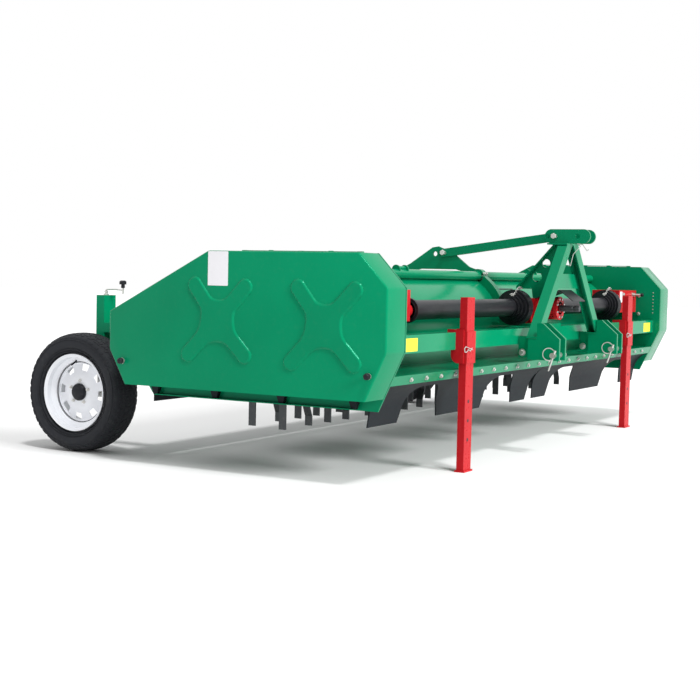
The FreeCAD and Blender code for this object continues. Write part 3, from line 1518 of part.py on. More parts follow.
# ---------------------------------------------------------------- checks and export

doc.recompute()
for feature in doc.Objects:
    if "Invalid" in feature.State or "Error" in feature.State:
        raise ValueError(f"{feature.Label} failed: {feature.State}")
for label, feature in NODES.items():
    if feature.Shape.isNull() or not feature.Shape.isValid() or not feature.Shape.Solids:
        raise ValueError(f"{label} has no valid solid")

os.makedirs("parts", exist_ok=True)
for label, feature in NODES.items():
    feature.Shape.exportStep(f"parts/{label}.step")
    box = feature.Shape.BoundBox
    print(f"{label:28s} solids {len(feature.Shape.Solids):3d}  "
          f"x {box.XMin:8.1f} {box.XMax:8.1f}  y {box.YMin:8.1f} {box.YMax:8.1f}  "
          f"z {box.ZMin:7.1f} {box.ZMax:7.1f}")
print(len(NODES), "sub-parts")
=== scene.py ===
# %% [markdown]
# # A four-row haulm topper
# A haulm topper is a wide tractor implement: a rotor with hinged flails under a hood strips the
# leaves from potato ridges. The exact shapes of its pieces are loaded from the CAD model, and this
# script paints them, adds the fittings that are too small for CAD, and sets up a plain studio.
# It works from the side covers through the frame to the wheels, and each cell can be run and looked
# at in turn.

# %% Load the exact model
import json
import math

import bmesh
import bpy
from mathutils import Matrix, Quaternion, Vector


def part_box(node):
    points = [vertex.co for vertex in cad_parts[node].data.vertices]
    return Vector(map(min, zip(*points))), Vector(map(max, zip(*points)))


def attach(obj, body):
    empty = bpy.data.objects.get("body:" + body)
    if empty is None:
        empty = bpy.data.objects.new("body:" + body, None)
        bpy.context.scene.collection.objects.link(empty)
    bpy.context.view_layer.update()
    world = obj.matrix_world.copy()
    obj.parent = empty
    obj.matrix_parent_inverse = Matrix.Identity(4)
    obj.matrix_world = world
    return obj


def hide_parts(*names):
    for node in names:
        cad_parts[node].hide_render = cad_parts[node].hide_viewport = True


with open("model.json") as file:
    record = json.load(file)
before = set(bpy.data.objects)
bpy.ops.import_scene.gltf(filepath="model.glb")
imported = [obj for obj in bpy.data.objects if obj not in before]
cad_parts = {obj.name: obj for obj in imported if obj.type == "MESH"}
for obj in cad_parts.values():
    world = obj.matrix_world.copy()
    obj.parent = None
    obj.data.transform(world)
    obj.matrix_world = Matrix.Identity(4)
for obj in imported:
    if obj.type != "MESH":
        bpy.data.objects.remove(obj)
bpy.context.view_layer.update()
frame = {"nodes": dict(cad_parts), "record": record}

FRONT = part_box("left_side_cover")[0].y
SIDES = {"right": -1, "left": 1}
print(len(frame["nodes"]), "pieces, covers start at y =", round(FRONT, 4))

# %% [markdown]
# ## Surfaces
# A whole machine shares few finishes: paint, bare steel, zinc, plastic and rubber. The wear that
# makes each of them look real is the same kind of thing every time, a base colour that drifts, a
# little dust and a fine bump. So it is built once as a shader node group with named inputs, and each
# material only says which colour, how much dust and how rough. Building it per material would make
# eleven copies to keep in step. The patterns read Object coordinates, so they stick to the piece.

# %% A shared group for worn surfaces


def new_wear_group():
    """A node group: colour, dust and roughness in, shaded colour, roughness and bump height out."""
    group = bpy.data.node_groups.new("worn_surface", "ShaderNodeTree")
    sockets = (
        ("Colour", "INPUT", "NodeSocketColor"),
        ("Dust", "INPUT", "NodeSocketFloat"),
        ("Roughness", "INPUT", "NodeSocketFloat"),
        ("Colour", "OUTPUT", "NodeSocketColor"),
        ("Roughness", "OUTPUT", "NodeSocketFloat"),
        ("Height", "OUTPUT", "NodeSocketFloat"),
    )
    for name, way, kind in sockets:
        group.interface.new_socket(name, in_out=way, socket_type=kind)
    nodes, links = group.nodes, group.links
    given = nodes.new("NodeGroupInput")
    result = nodes.new("NodeGroupOutput")
    place = nodes.new("ShaderNodeTexCoord")

    def noise(scale, detail):
        node = nodes.new("ShaderNodeTexNoise")
        node.inputs["Scale"].default_value = scale
        node.inputs["Detail"].default_value = detail
        links.new(place.outputs["Object"], node.inputs["Vector"])
        return node

    def ramp(source, low, high, start, end):
        node = nodes.new("ShaderNodeMapRange")
        node.inputs["From Min"].default_value = low
        node.inputs["From Max"].default_value = high
        node.inputs["To Min"].default_value = start
        node.inputs["To Max"].default_value = end
        links.new(source, node.inputs["Value"])
        return node

    drift = noise(2.2, 3.0)
    speck = noise(45.0, 4.0)
    grain = noise(240.0, 2.0)
    shade = nodes.new("ShaderNodeHueSaturation")
    value = ramp(drift.outputs["Fac"], 0.3, 0.7, 0.93, 1.07)
    links.new(value.outputs["Result"], shade.inputs["Value"])
    links.new(given.outputs["Colour"], shade.inputs["Color"])
    dusty = nodes.new("ShaderNodeMix")
    dusty.data_type = "RGBA"
    dusty.inputs["B"].default_value = (0.42, 0.39, 0.33, 1.0)
    patches = ramp(speck.outputs["Fac"], 0.52, 0.78, 0.0, 1.0)
    amount = nodes.new("ShaderNodeMath")
    amount.operation = "MULTIPLY"
    links.new(patches.outputs["Result"], amount.inputs[0])
    links.new(given.outputs["Dust"], amount.inputs[1])
    links.new(amount.outputs["Value"], dusty.inputs["Factor"])
    links.new(shade.outputs["Color"], dusty.inputs["A"])
    uneven = ramp(speck.outputs["Fac"], 0.3, 0.7, -0.02, 0.03)
    rough = nodes.new("ShaderNodeMath")
    rough.use_clamp = True
    links.new(given.outputs["Roughness"], rough.inputs[0])
    links.new(uneven.outputs["Result"], rough.inputs[1])
    links.new(dusty.outputs["Result"], result.inputs["Colour"])
    links.new(rough.outputs["Value"], result.inputs["Roughness"])
    links.new(grain.outputs["Fac"], result.inputs["Height"])
    return group


wear_group = new_wear_group()
print("group sockets:", [item.name for item in wear_group.interface.items_tree])

# %% Eleven materials from the one group
# Paint reflects the white sky, which washes a strong colour out. A low index of refraction and a
# reflection tinted towards the paint keep it as deep as it looks on a real machine.
# name: colour, dust, roughness, metallic, bump strength, index of refraction, tint of the reflection
GREEN_GLINT = (0.22, 0.90, 0.68)
RED_GLINT = (0.95, 0.25, 0.25)
PALE_GLINT = (0.85, 0.90, 0.95)
FINISHES = {
    "green_paint": ((0.001, 0.225, 0.100), 0.01, 0.17, 0.0, 0.005, 1.30, GREEN_GLINT),
    "red_paint": ((0.470, 0.013, 0.018), 0.02, 0.28, 0.0, 0.02, 1.20, RED_GLINT),
    "white_paint": ((0.860, 0.870, 0.910), 0.05, 0.34, 0.0, 0.03, 1.45, PALE_GLINT),
    "bare_steel": ((0.060, 0.064, 0.068), 0.10, 0.42, 0.5, 0.08, 1.45, PALE_GLINT),
    "zinc": ((0.620, 0.610, 0.580), 0.04, 0.30, 0.8, 0.05, 1.45, PALE_GLINT),
    "black_plastic": ((0.012, 0.012, 0.015), 0.04, 0.36, 0.0, 0.08, 1.30, PALE_GLINT),
    "black_rubber": ((0.012, 0.016, 0.019), 0.01, 0.50, 0.0, 0.04, 1.20, PALE_GLINT),
    "tyre_rubber": ((0.022, 0.023, 0.027), 0.03, 0.55, 0.0, 0.10, 1.25, PALE_GLINT),
    "yellow_label": ((0.800, 0.740, 0.050), 0.02, 0.45, 0.0, 0.01, 1.30, PALE_GLINT),
    "white_label": ((0.780, 0.770, 0.800), 0.02, 0.45, 0.0, 0.01, 1.30, PALE_GLINT),
    "weld_bead": ((0.004, 0.180, 0.080), 0.15, 0.45, 0.0, 0.60, 1.20, GREEN_GLINT),
}


def new_material(name, colour, dust, roughness, metallic, bump_strength, refraction, glint):
    """A painted or bare surface made from the shared group."""
    material = bpy.data.materials.new(name)
    material.use_nodes = True
    nodes, links = material.node_tree.nodes, material.node_tree.links
    shader = nodes["Principled BSDF"]
    wear = nodes.new("ShaderNodeGroup")
    wear.node_tree = wear_group
    wear.inputs["Colour"].default_value = (*colour, 1.0)
    wear.inputs["Dust"].default_value = dust
    wear.inputs["Roughness"].default_value = roughness
    bump = nodes.new("ShaderNodeBump")
    bump.inputs["Strength"].default_value = bump_strength
    bump.inputs["Distance"].default_value = 0.001
    shader.inputs["Metallic"].default_value = metallic
    shader.inputs["IOR"].default_value = refraction
    shader.inputs["Specular Tint"].default_value = (*glint, 1.0)
    links.new(wear.outputs["Colour"], shader.inputs["Base Color"])
    links.new(wear.outputs["Roughness"], shader.inputs["Roughness"])
    links.new(wear.outputs["Height"], bump.inputs["Height"])
    links.new(bump.outputs["Normal"], shader.inputs["Normal"])
    return material


MATERIALS = {name: new_material(name, *numbers) for name, numbers in FINISHES.items()}
RECORD_SLOTS = {entry["node"]: entry["material_slot"] for entry in frame["record"]["subparts"]}
for node_name, node_object in frame["nodes"].items():
    node_object.data.materials.clear()
    node_object.data.materials.append(MATERIALS[RECORD_SLOTS[node_name]])
print("painted", len(RECORD_SLOTS), "pieces with", len(set(RECORD_SLOTS.values())), "finishes")

# %% [markdown]
# ## Tools for the small pieces
# Every fitting below is made with bmesh, Blender's editable mesh: a round or flat piece starts as a
# circle or a one-face grid and grows by extruding. Round things could be made by spinning a profile,
# but growing a circle ring by ring gives the same shape with its size written beside each ring.
# These few helpers hold the repeated steps. Each takes the mesh it adds to, so that a dozen bolts
# can end up as one object, which is lighter than a dozen.

# %% Helpers that grow shapes


def spot(x, y, z):
    """A point in metres, with y counted from the front faces of the covers."""
    return Vector((x, FRONT + y, z))


def turn_to(direction):
    """Rotation that takes the Z axis to a direction."""
    return Vector(direction).to_track_quat("Z", "Y").to_matrix().to_4x4()


def only(kind, items):
    """The items of one kind, such as the points among what an operator made."""
    return [item for item in items if isinstance(item, kind)]


def edges_among(mesh, verts):
    """The edges that have both ends among the given points."""
    chosen = set(verts)
    return [edge for edge in mesh.edges if edge.verts[0] in chosen and edge.verts[1] in chosen]


def added(mesh, before):
    """The points that are in the mesh now and were not in it before."""
    return [vert for vert in mesh.verts if vert not in before]


def grow(mesh, verts, stations):
    """Extrude an outline along Z and return all its points and its last edges.

    Each station is (distance, size), and the first one is where the outline lies already.
    """
    edges = edges_among(mesh, verts)
    everything = list(verts)
    for (distance, size), (next_distance, next_size) in zip(stations, stations[1:]):
        grown = bmesh.ops.extrude_edge_only(mesh, edges=edges)["geom"]
        new = only(bmesh.types.BMVert, grown)
        edges = only(bmesh.types.BMEdge, grown)
        share = next_size / size
        bmesh.ops.scale(mesh, verts=new, vec=(share, share, 1.0))
        bmesh.ops.translate(mesh, verts=new, vec=(0, 0, next_distance - distance))
        everything += new
    return everything, edges


def turned(mesh, start, direction, rings, segments=24, closed=True):
    """A round piece about a line: each ring is (distance along the line, radius)."""
    first_distance, first_radius = rings[0]
    made = bmesh.ops.create_circle(mesh, cap_ends=closed, segments=segments, radius=first_radius)
    bmesh.ops.translate(mesh, verts=made["verts"], vec=(0, 0, first_distance))
    everything, last_edges = grow(mesh, made["verts"], rings)
    if closed:
        bmesh.ops.contextual_create(mesh, geom=last_edges)
    matrix = Matrix.Translation(start) @ turn_to(direction)
    bmesh.ops.transform(mesh, matrix=matrix, verts=everything)


def rod(mesh, start, end, radius, segments=12):
    """A plain round rod from one point to another."""
    line = end - start
    turned(mesh, start, line, [(0.0, radius), (line.length, radius)], segments)


def wire(mesh, points, radius):
    """A bent wire: a rod for each straight stretch, with a small ball at each bend."""
    for first, second in zip(points, points[1:]):
        rod(mesh, first, second, radius, 8)
    for point in points[1:-1]:
        bmesh.ops.create_icosphere(mesh, subdivisions=1, radius=radius * 1.02,
                                   matrix=Matrix.Translation(point))


def ring(mesh, centre, direction, radius, thickness, steps=28):
    """A wire ring: a small circle spun once round the line through the centre."""
    made = bmesh.ops.create_circle(mesh, segments=8, radius=thickness,
                                   matrix=Matrix.Translation((radius, 0, 0))
                                   @ Matrix.Rotation(math.pi / 2, 4, "X"))
    around = made["verts"]
    before = set(mesh.verts) - set(around)
    bmesh.ops.spin(mesh, geom=around + edges_among(mesh, around), cent=(0, 0, 0), axis=(0, 0, 1),
                   angle=math.pi * 2, steps=steps, use_merge=True)
    matrix = Matrix.Translation(centre) @ turn_to(direction)
    bmesh.ops.transform(mesh, matrix=matrix, verts=added(mesh, before))


def hex_bolt(mesh, seat, direction, across=0.018, washer=0.0):
    """A bolt head with chamfered corners on its washer; across is the distance between flats."""
    half = across / 2 / math.cos(math.pi / 6)
    height = across * 0.62
    base = 0.0
    if washer:
        base = 0.0025
        turned(mesh, seat, direction, [(0.0, washer), (base, washer)], 20)
    turned(mesh, seat, direction,
           [(base, half), (base + height * 0.85, half), (base + height, half * 0.86)], 6)


def flat_piece(mesh, centre, right, up, width, height, thickness, corner=0.0):
    """A plate with rounded corners: one face, its corners bevelled, then extruded off its seat."""
    right, up = Vector(right).normalized(), Vector(up).normalized()
    outward = right.cross(up)
    matrix = Matrix.Translation(centre) @ Matrix((
        (right.x, up.x, outward.x, 0), (right.y, up.y, outward.y, 0),
        (right.z, up.z, outward.z, 0), (0, 0, 0, 1)))
    before = set(mesh.verts)
    bmesh.ops.create_grid(mesh, x_segments=1, y_segments=1, size=0.5)
    corners = added(mesh, before)
    bmesh.ops.scale(mesh, verts=corners, vec=(width, height, 1.0))
    if corner:
        bmesh.ops.bevel(mesh, geom=corners, offset=corner, segments=4, profile=0.5,
                        affect="VERTICES", material=-1)
    face = [item for item in mesh.faces if item.verts[0] not in before]
    lifted = bmesh.ops.extrude_face_region(mesh, geom=face, use_keep_orig=True)["geom"]
    bmesh.ops.translate(mesh, verts=only(bmesh.types.BMVert, lifted), vec=(0, 0, thickness))
    bmesh.ops.transform(mesh, matrix=matrix, verts=added(mesh, before))


def place(mesh, name, material, body, slot=None):
    """Turn a mesh into an object of the machine that moves with a body."""
    for face in mesh.faces:
        face.smooth = True
    data = bpy.data.meshes.new(name)
    mesh.to_mesh(data)
    mesh.free()
    data.materials.append(MATERIALS[material])
    piece = bpy.data.objects.new(name, data)
    bpy.context.collection.objects.link(piece)
    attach(piece, body)
    print(f"{name}: {len(data.polygons)} faces")
    return piece


def finish(mesh, name, material, body, smooth_angle=35.0, slot=None):
    """Face a mesh outwards, keep its folds sharp and place it."""
    bmesh.ops.recalc_face_normals(mesh, faces=mesh.faces)
    for edge in mesh.edges:
        if len(edge.link_faces) == 2:
            edge.smooth = edge.calc_face_angle(0.0) < math.radians(smooth_angle)
    return place(mesh, name, material, body, slot)


# %% [markdown]
# ## Side covers
# Each cover is a shallow pan of sheet steel. Its outline is cut out of one rectangle with planes, as
# a guillotine would do it, the rim is extruded inwards, and the folds are rounded with a bevel. The
# rounded fold is what catches the light. The two pressed crosses on the face stiffen a real sheet.
# They could be displaced out of the face itself, but that would need a fine mesh everywhere. A fine
# patch that lies just inside the sheet and only comes out of it along the cross is far lighter.

# %% A pan with rounded folds
SHEET = 0.003
cover_low, cover_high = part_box("left_side_cover")
COVER_FACE = 2.0
COVER_INNER = cover_low.x
COVER_TOP = 1.001
COVER_BOTTOM = cover_low.z
COVER_LENGTH = cover_high.y - cover_low.y
# slanting cuts: a point (y, z) on each and the direction (y, z) that is cut away
COVER_CUTS = (
    ((0.139, 1.001), (-0.145, 0.139)),
    ((0.000, 0.585), (-0.207, -0.097)),
    ((0.907, 1.001), (0.285, 0.556)),
    ((1.463, 0.539), (0.161, -0.091)),
)
HINGE = (1.839, 0.523, 1.005)
# turns a grid that lies flat into one that stands and faces sideways
SIDEWAYS = Matrix(((0, 0, 1, 0), (1, 0, 0, 0), (0, 1, 0, 0), (0, 0, 0, 1)))


def cover_face(mesh, x):
    """The flat outline of a cover as one face."""
    middle = spot(x, COVER_LENGTH / 2, (COVER_TOP + COVER_BOTTOM) / 2)
    height = COVER_TOP - COVER_BOTTOM
    matrix = Matrix.Translation(middle) @ SIDEWAYS
    made = bmesh.ops.create_grid(mesh, x_segments=1, y_segments=1, size=0.5)["verts"]
    bmesh.ops.scale(mesh, verts=made, vec=(COVER_LENGTH, height, 1.0))
    bmesh.ops.transform(mesh, matrix=matrix, verts=made)
    for (y, z), (away_y, away_z) in COVER_CUTS:
        bmesh.ops.bisect_plane(mesh, geom=mesh.verts[:] + mesh.edges[:] + mesh.faces[:], dist=1e-6,
                               plane_co=spot(x, y, z), plane_no=(0, away_y, away_z),
                               clear_outer=True)


def cover_pan(name, side):
    """A cover's folded sheet with its two hinge ears, in place of the plain one."""
    mesh = bmesh.new()
    cover_face(mesh, side * COVER_FACE)
    lowest = COVER_BOTTOM + 0.0005
    rim = [edge for edge in mesh.edges if max(vert.co.z for vert in edge.verts) > lowest]
    grown = bmesh.ops.extrude_edge_only(mesh, edges=rim)["geom"]
    inner = only(bmesh.types.BMVert, grown)
    bmesh.ops.translate(mesh, verts=inner, vec=(-side * (COVER_FACE - COVER_INNER), 0, 0))
    folds = [edge for edge in mesh.edges if len(edge.link_faces) == 2]
    bmesh.ops.bevel(mesh, geom=folds, offset=0.008, segments=3, profile=0.5, affect="EDGES",
                    material=-1, clamp_overlap=True)
    bmesh.ops.recalc_face_normals(mesh, faces=mesh.faces)
    bmesh.ops.solidify(mesh, geom=mesh.faces[:], thickness=SHEET)
    for step in (-1, 1):
        y = HINGE[1] + step * 0.155
        ear = spot(side * (COVER_INNER + 0.023), y, COVER_TOP - 0.0005)
        flat_piece(mesh, ear, (1, 0, 0), (0, 1, 0), 0.046, 0.024, 0.004, corner=0.004)
        turned(mesh, spot(side * HINGE[0], y - 0.012, HINGE[2]), (0, 1, 0),
               [(0.0, 0.0034), (0.001, 0.004), (0.023, 0.004), (0.024, 0.0034)], 16)
    piece = finish(mesh, f"{name}_cover_pan", "green_paint", f"{name}_side_cover", slot="green_paint")
    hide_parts(f"{name}_side_cover")


for side_name, side in SIDES.items():
    cover_pan(side_name, side)

# %% Pressed crosses
CROSS_HALF_WIDTH = 0.036
CROSS_HEIGHT = 0.0085
CROSS_SLOPE = 0.0105
CROSS_FILLET = 0.080
PATCH_SIZE = 0.47
PATCH_CELLS = 190
# how far the patch's flat part lies inside the sheet's face
PATCH_SINK = 0.001
# centre (y, z) and the ends of the four arms of each cross
CROSSES = (
    ((0.304, 0.686), ((0.432, 0.846), (0.152, 0.842), (0.152, 0.532), (0.462, 0.526))),
    ((0.852, 0.690), ((0.974, 0.846), (0.704, 0.842), (0.704, 0.542), (1.008, 0.536))),
)


def distance_to_arm(y, z, centre, end):
    """How far a point is from the line between an arm's end and the cross's centre."""
    arm = Vector((end[0] - centre[0], end[1] - centre[1]))
    gap = Vector((y - centre[0], z - centre[1]))
    share = min(max(gap.dot(arm) / arm.length_squared, 0.0), 1.0)
    return (gap - arm * share).length


def smooth_least(first, second, radius):
    """The smaller of two distances, rounded where they are nearly equal."""
    overlap = max(radius - abs(first - second), 0.0) / radius
    return min(first, second) - overlap * overlap * radius / 4


def pressed_cross(mesh, side, centre, ends):
    """A fine patch just inside the sheet, which comes out of it along the cross."""
    matrix = Matrix.Translation(spot(0, centre[0] + 0.004, centre[1] - 0.003)) @ SIDEWAYS
    made = bmesh.ops.create_grid(mesh, x_segments=PATCH_CELLS, y_segments=PATCH_CELLS,
                                 size=PATCH_SIZE / 2)["verts"]
    bmesh.ops.transform(mesh, matrix=matrix, verts=made)
    flat = []
    for vert in made:
        distance = None
        for end in ends:
            gap = distance_to_arm(vert.co.y - FRONT, vert.co.z, centre, end)
            distance = gap if distance is None else smooth_least(distance, gap, CROSS_FILLET)
        share = min(max((CROSS_HALF_WIDTH + CROSS_SLOPE / 2 - distance) / CROSS_SLOPE, 0.0), 1.0)
        raised = share * share * (3 - 2 * share)
        vert.co.x = side * (COVER_FACE - PATCH_SINK + raised * CROSS_HEIGHT)
        if raised < 0.02:
            flat.append(vert)
    bmesh.ops.delete(mesh, geom=flat, context="VERTS")


for side_name, side in SIDES.items():
    cross_mesh = bmesh.new()
    for centre, ends in CROSSES:
        pressed_cross(cross_mesh, side, centre, ends)
    if side < 0:
        bmesh.ops.reverse_faces(cross_mesh, faces=cross_mesh.faces[:])
    place(cross_mesh, f"{side_name}_cover_crosses", "green_paint", f"{side_name}_side_cover",
          slot="green_paint")

# %% Latches
KNOB_LOBES = 5
KNOB_POINTS = 40
LOBE_DEPTH = 0.10


def lobed_knob(mesh, start, direction, radius, length):
    """A hand knob: a many-sided circle pressed into lobes, extruded, its edges drawn in."""
    before = set(mesh.verts)
    made = bmesh.ops.create_circle(mesh, cap_ends=True, segments=KNOB_POINTS, radius=radius)["verts"]
    for index, vert in enumerate(made):
        turn = math.pi * 2 * index / KNOB_POINTS
        wave = 1.0 - LOBE_DEPTH * (1 - math.cos(turn * KNOB_LOBES)) / 2
        bmesh.ops.scale(mesh, verts=[vert], vec=(wave, wave, 1.0))
    face = [item for item in mesh.faces if item.verts[0] not in before]
    for height, share in ((0.15, 1.0), (0.55, 1.0), (0.2, 0.8), (0.1, 0.7)):
        face = bmesh.ops.extrude_discrete_faces(mesh, faces=face)["faces"]
        verts = face[0].verts[:]
        bmesh.ops.translate(mesh, verts=verts, vec=(0, 0, height * length))
        bmesh.ops.scale(mesh, verts=verts, vec=(share, share, 1.0))
    bmesh.ops.remove_doubles(mesh, verts=added(mesh, before), dist=1e-6)
    matrix = Matrix.Translation(start) @ turn_to(direction)
    bmesh.ops.transform(mesh, matrix=matrix, verts=added(mesh, before))


LATCH_Z = 0.486
LATCH_SPOTS = (0.080, COVER_LENGTH - 0.080)
for side_name, side in SIDES.items():
    pins = bmesh.new()
    knobs = bmesh.new()
    for y in LATCH_SPOTS:
        seat = spot(side * COVER_FACE, y, LATCH_Z)
        turned(pins, seat, (side, 0, 0),
               [(0.0, 0.014), (0.003, 0.014), (0.003, 0.007), (0.012, 0.007)])
        lobed_knob(knobs, seat + Vector((side * 0.010, 0, 0)), (side, 0, 0), 0.0145, 0.0175)
    finish(pins, f"{side_name}_latch_pins", "zinc", f"{side_name}_side_cover", slot="zinc")
    finish(knobs, f"{side_name}_latch_knobs", "black_plastic", f"{side_name}_side_cover",
           slot="black_plastic")

# %% Blank labels
# A label is a thin plate with rounded corners, kept free of any print.
LABEL = 0.0006
label_mesh = bmesh.new()
flat_piece(label_mesh, spot(-COVER_FACE, 0.851, 0.922), (0, -1, 0), (0, 0, 1),
           0.108, 0.152, LABEL, 0.004)
finish(label_mesh, "cover_label", "white_label", "right_side_cover")
BEAM_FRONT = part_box("front_beam")[0].y
label_mesh = bmesh.new()
for side in SIDES.values():
    flat_piece(label_mesh, Vector((side * 1.693, BEAM_FRONT, 0.608)), (1, 0, 0), (0, 0, 1),
               0.136, 0.058, LABEL, 0.003)
finish(label_mesh, "beam_labels", "yellow_label", "frame")

# %% [markdown]
# ## Fasteners on the frame
# Bolts show how a machine is put together: a row clamps the rubber curtain to the folded lip, others
# hold the bearing housings, the collars on the top tubes and the hitch brackets. They all come from
# the same bolt helper, and each group is joined into one mesh. A few dozen faces are enough for one.

# %% Lip and curtain bolts
LIP_SLOPE = Vector((0, -0.905, -0.424))
STRIP_BOLT = 0.013
STRIP_WASHER = 0.011
FIRST_BOLT_X = -1.65
LIP_PITCH = 0.15
REAR_PITCH = 0.30
bolt_mesh = bmesh.new()
for index in range(23):
    seat = spot(FIRST_BOLT_X + LIP_PITCH * index, 0.0608, 0.455)
    hex_bolt(bolt_mesh, seat, LIP_SLOPE, STRIP_BOLT, STRIP_WASHER)
finish(bolt_mesh, "lip_bolts", "zinc", "frame", slot="zinc")
strip_low, strip_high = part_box("rear_lip")
bolt_mesh = bmesh.new()
for index in range(12):
    seat = Vector((FIRST_BOLT_X + REAR_PITCH * index, strip_low.y, (strip_low.z + strip_high.z) / 2))
    hex_bolt(bolt_mesh, seat, (0, -1, 0), STRIP_BOLT, STRIP_WASHER)
finish(bolt_mesh, "rear_strip_bolts", "zinc", "frame", slot="zinc")

# %% Hitch bracket bolts
bolt_mesh = bmesh.new()
bracket_low, bracket_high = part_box("left_hitch_bracket")
BRACKET_MIDDLE = (bracket_low.x + bracket_high.x) / 2
for side in SIDES.values():
    for way in (-1, 1):
        seat = spot(side * BRACKET_MIDDLE + way * 0.025, 0.024, 0.530)
        hex_bolt(bolt_mesh, seat, (way, 0, 0), 0.024, 0.019)
finish(bolt_mesh, "hitch_bolts", "zinc", "frame", slot="zinc")

# %% Lynch pins with rings
# A lynch pin locks the hitch pin: a cross pin through its end with a ring that snaps over it.
pin_low, pin_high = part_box("hitch_pins")
PIN_Y = (pin_low.y + pin_high.y) / 2
PIN_Z = (pin_low.z + pin_high.z) / 2
PIN_HALF = pin_high.x - BRACKET_MIDDLE
lynch_mesh = bmesh.new()
for side in SIDES.values():
    end_x = side * BRACKET_MIDDLE - PIN_HALF + 0.010
    top = Vector((end_x, PIN_Y - 0.012, PIN_Z + 0.026))
    turned(lynch_mesh, top, (0, 0.32, -1.0),
           [(0.0, 0.0075), (0.012, 0.0075), (0.014, 0.005), (0.104, 0.005), (0.110, 0.003)], 14)
    ring_centre = Vector((end_x - 0.004, PIN_Y + 0.020, PIN_Z + 0.006))
    ring(lynch_mesh, ring_centre, (1, 0.15, 0), 0.031, 0.0028)
    turned(lynch_mesh, Vector((side * BRACKET_MIDDLE + PIN_HALF, PIN_Y, PIN_Z)), (-1, 0, 0),
           [(0.0, 0.018), (0.002, 0.020), (0.008, 0.020), (0.008, 0.0142)], 28)
finish(lynch_mesh, "lynch_pins", "zinc", "frame", slot="zinc")

# %% Spring clips on the stands
# A clip is a wire bent back on itself: one straight leg goes through the hole, the other grips.
stand_low, stand_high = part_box("left_stand_bracket")
STAND_X = (stand_low.x + stand_high.x) / 2
SLEEVE_HALF = 0.047
CLIP_WIRE = 0.0022
# (distance from the clip's place, height) of each bend of the two legs
CLIP_THROUGH = ((-0.020, 0.588), (0.055, 0.572))
CLIP_BACK = ((-0.020, 0.588), (-0.034, 0.580), (-0.030, 0.564), (-0.012, 0.562), (0.010, 0.574),
             (0.030, 0.566), (0.050, 0.580))
clip_mesh = bmesh.new()
for side in SIDES.values():
    clip_x = side * STAND_X - SLEEVE_HALF - 0.006
    clip_y = stand_low.y - 0.006
    for leg in (CLIP_THROUGH, CLIP_BACK):
        wire(clip_mesh, [Vector((clip_x + x, clip_y, z)) for x, z in leg], CLIP_WIRE)
finish(clip_mesh, "stand_clips", "zinc", "frame", slot="zinc")
# Black discs on the front of each stand are painted shade: they stand for the dark insides of its pin
# holes.
STAND_FRONT = stand_low.y + 0.006
for side_name, side in SIDES.items():
    hole_shade_mesh = bmesh.new()
    for height in (0.150, 0.240, 0.330):
        seat = Vector((side * STAND_X - 0.004, STAND_FRONT, height))
        turned(hole_shade_mesh, seat, (0, -1, 0), [(0.0, 0.0085), (0.0004, 0.0085), (0.0004, 0.006)], 20)
    finish(hole_shade_mesh, f"{side_name}_stand_hole_shade", "black_plastic", f"{side_name}_stand")

# %% [markdown]
# ## Drive line
# Power comes in through the splined shaft, turns the corner in the gearbox and leaves through two
# guarded half-shafts. The splines are cut by pressing every other group of points of a circle
# inwards before it is extruded, which is quicker than cutting six grooves. The guards get the ribs
# and the anti-turn chains of real ones; a chain is a row of rings, each a quarter turn on.

# %% Splined shaft
SHAFT_RADIUS = 0.0175
SPLINES = 6
SPLINE_POINTS = 8
SPLINE_DEPTH = 0.84
# sizes of the shaft's nose and of its lock groove, as shares of its full size
NOSE_SHARE = 1 / 1.06
LOCK_SHARE = 0.86
shaft_low, shaft_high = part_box("input_shaft")
SHAFT_Z = (shaft_low.z + shaft_high.z) / 2
NOSE_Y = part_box("gearbox")[0].y


def splined_shaft(mesh, start_y, end_y):
    """A shaft with grooves on its free end and a ring groove for the yoke's lock."""
    points = SPLINES * SPLINE_POINTS
    made = bmesh.ops.create_circle(mesh, cap_ends=False, segments=points, radius=SHAFT_RADIUS)["verts"]
    low = [vert for index, vert in enumerate(made) if index % SPLINE_POINTS < SPLINE_POINTS / 2]
    bmesh.ops.scale(mesh, verts=low, vec=(SPLINE_DEPTH, SPLINE_DEPTH, 1.0))
    bmesh.ops.scale(mesh, verts=made, vec=(NOSE_SHARE, NOSE_SHARE, 1.0))
    first_edges = edges_among(mesh, made)
    stations = ((0.0, NOSE_SHARE), (0.006, 1.0), (0.026, 1.0), (0.028, LOCK_SHARE),
                (0.036, LOCK_SHARE), (0.038, 1.0), (end_y - start_y, 1.0))
    everything, last_edges = grow(mesh, made, stations)
    for edges in (first_edges, last_edges):
        bmesh.ops.contextual_create(mesh, geom=edges)
    matrix = Matrix.Translation((0, start_y, SHAFT_Z)) @ turn_to((0, 1, 0))
    bmesh.ops.transform(mesh, matrix=matrix, verts=everything)


shaft_mesh = bmesh.new()
splined_shaft(shaft_mesh, shaft_low.y, NOSE_Y + 0.02)
shaft_piece = finish(shaft_mesh, "splined_input", "bare_steel", "input_shaft", slot="bare_steel")
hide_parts("input_shaft")

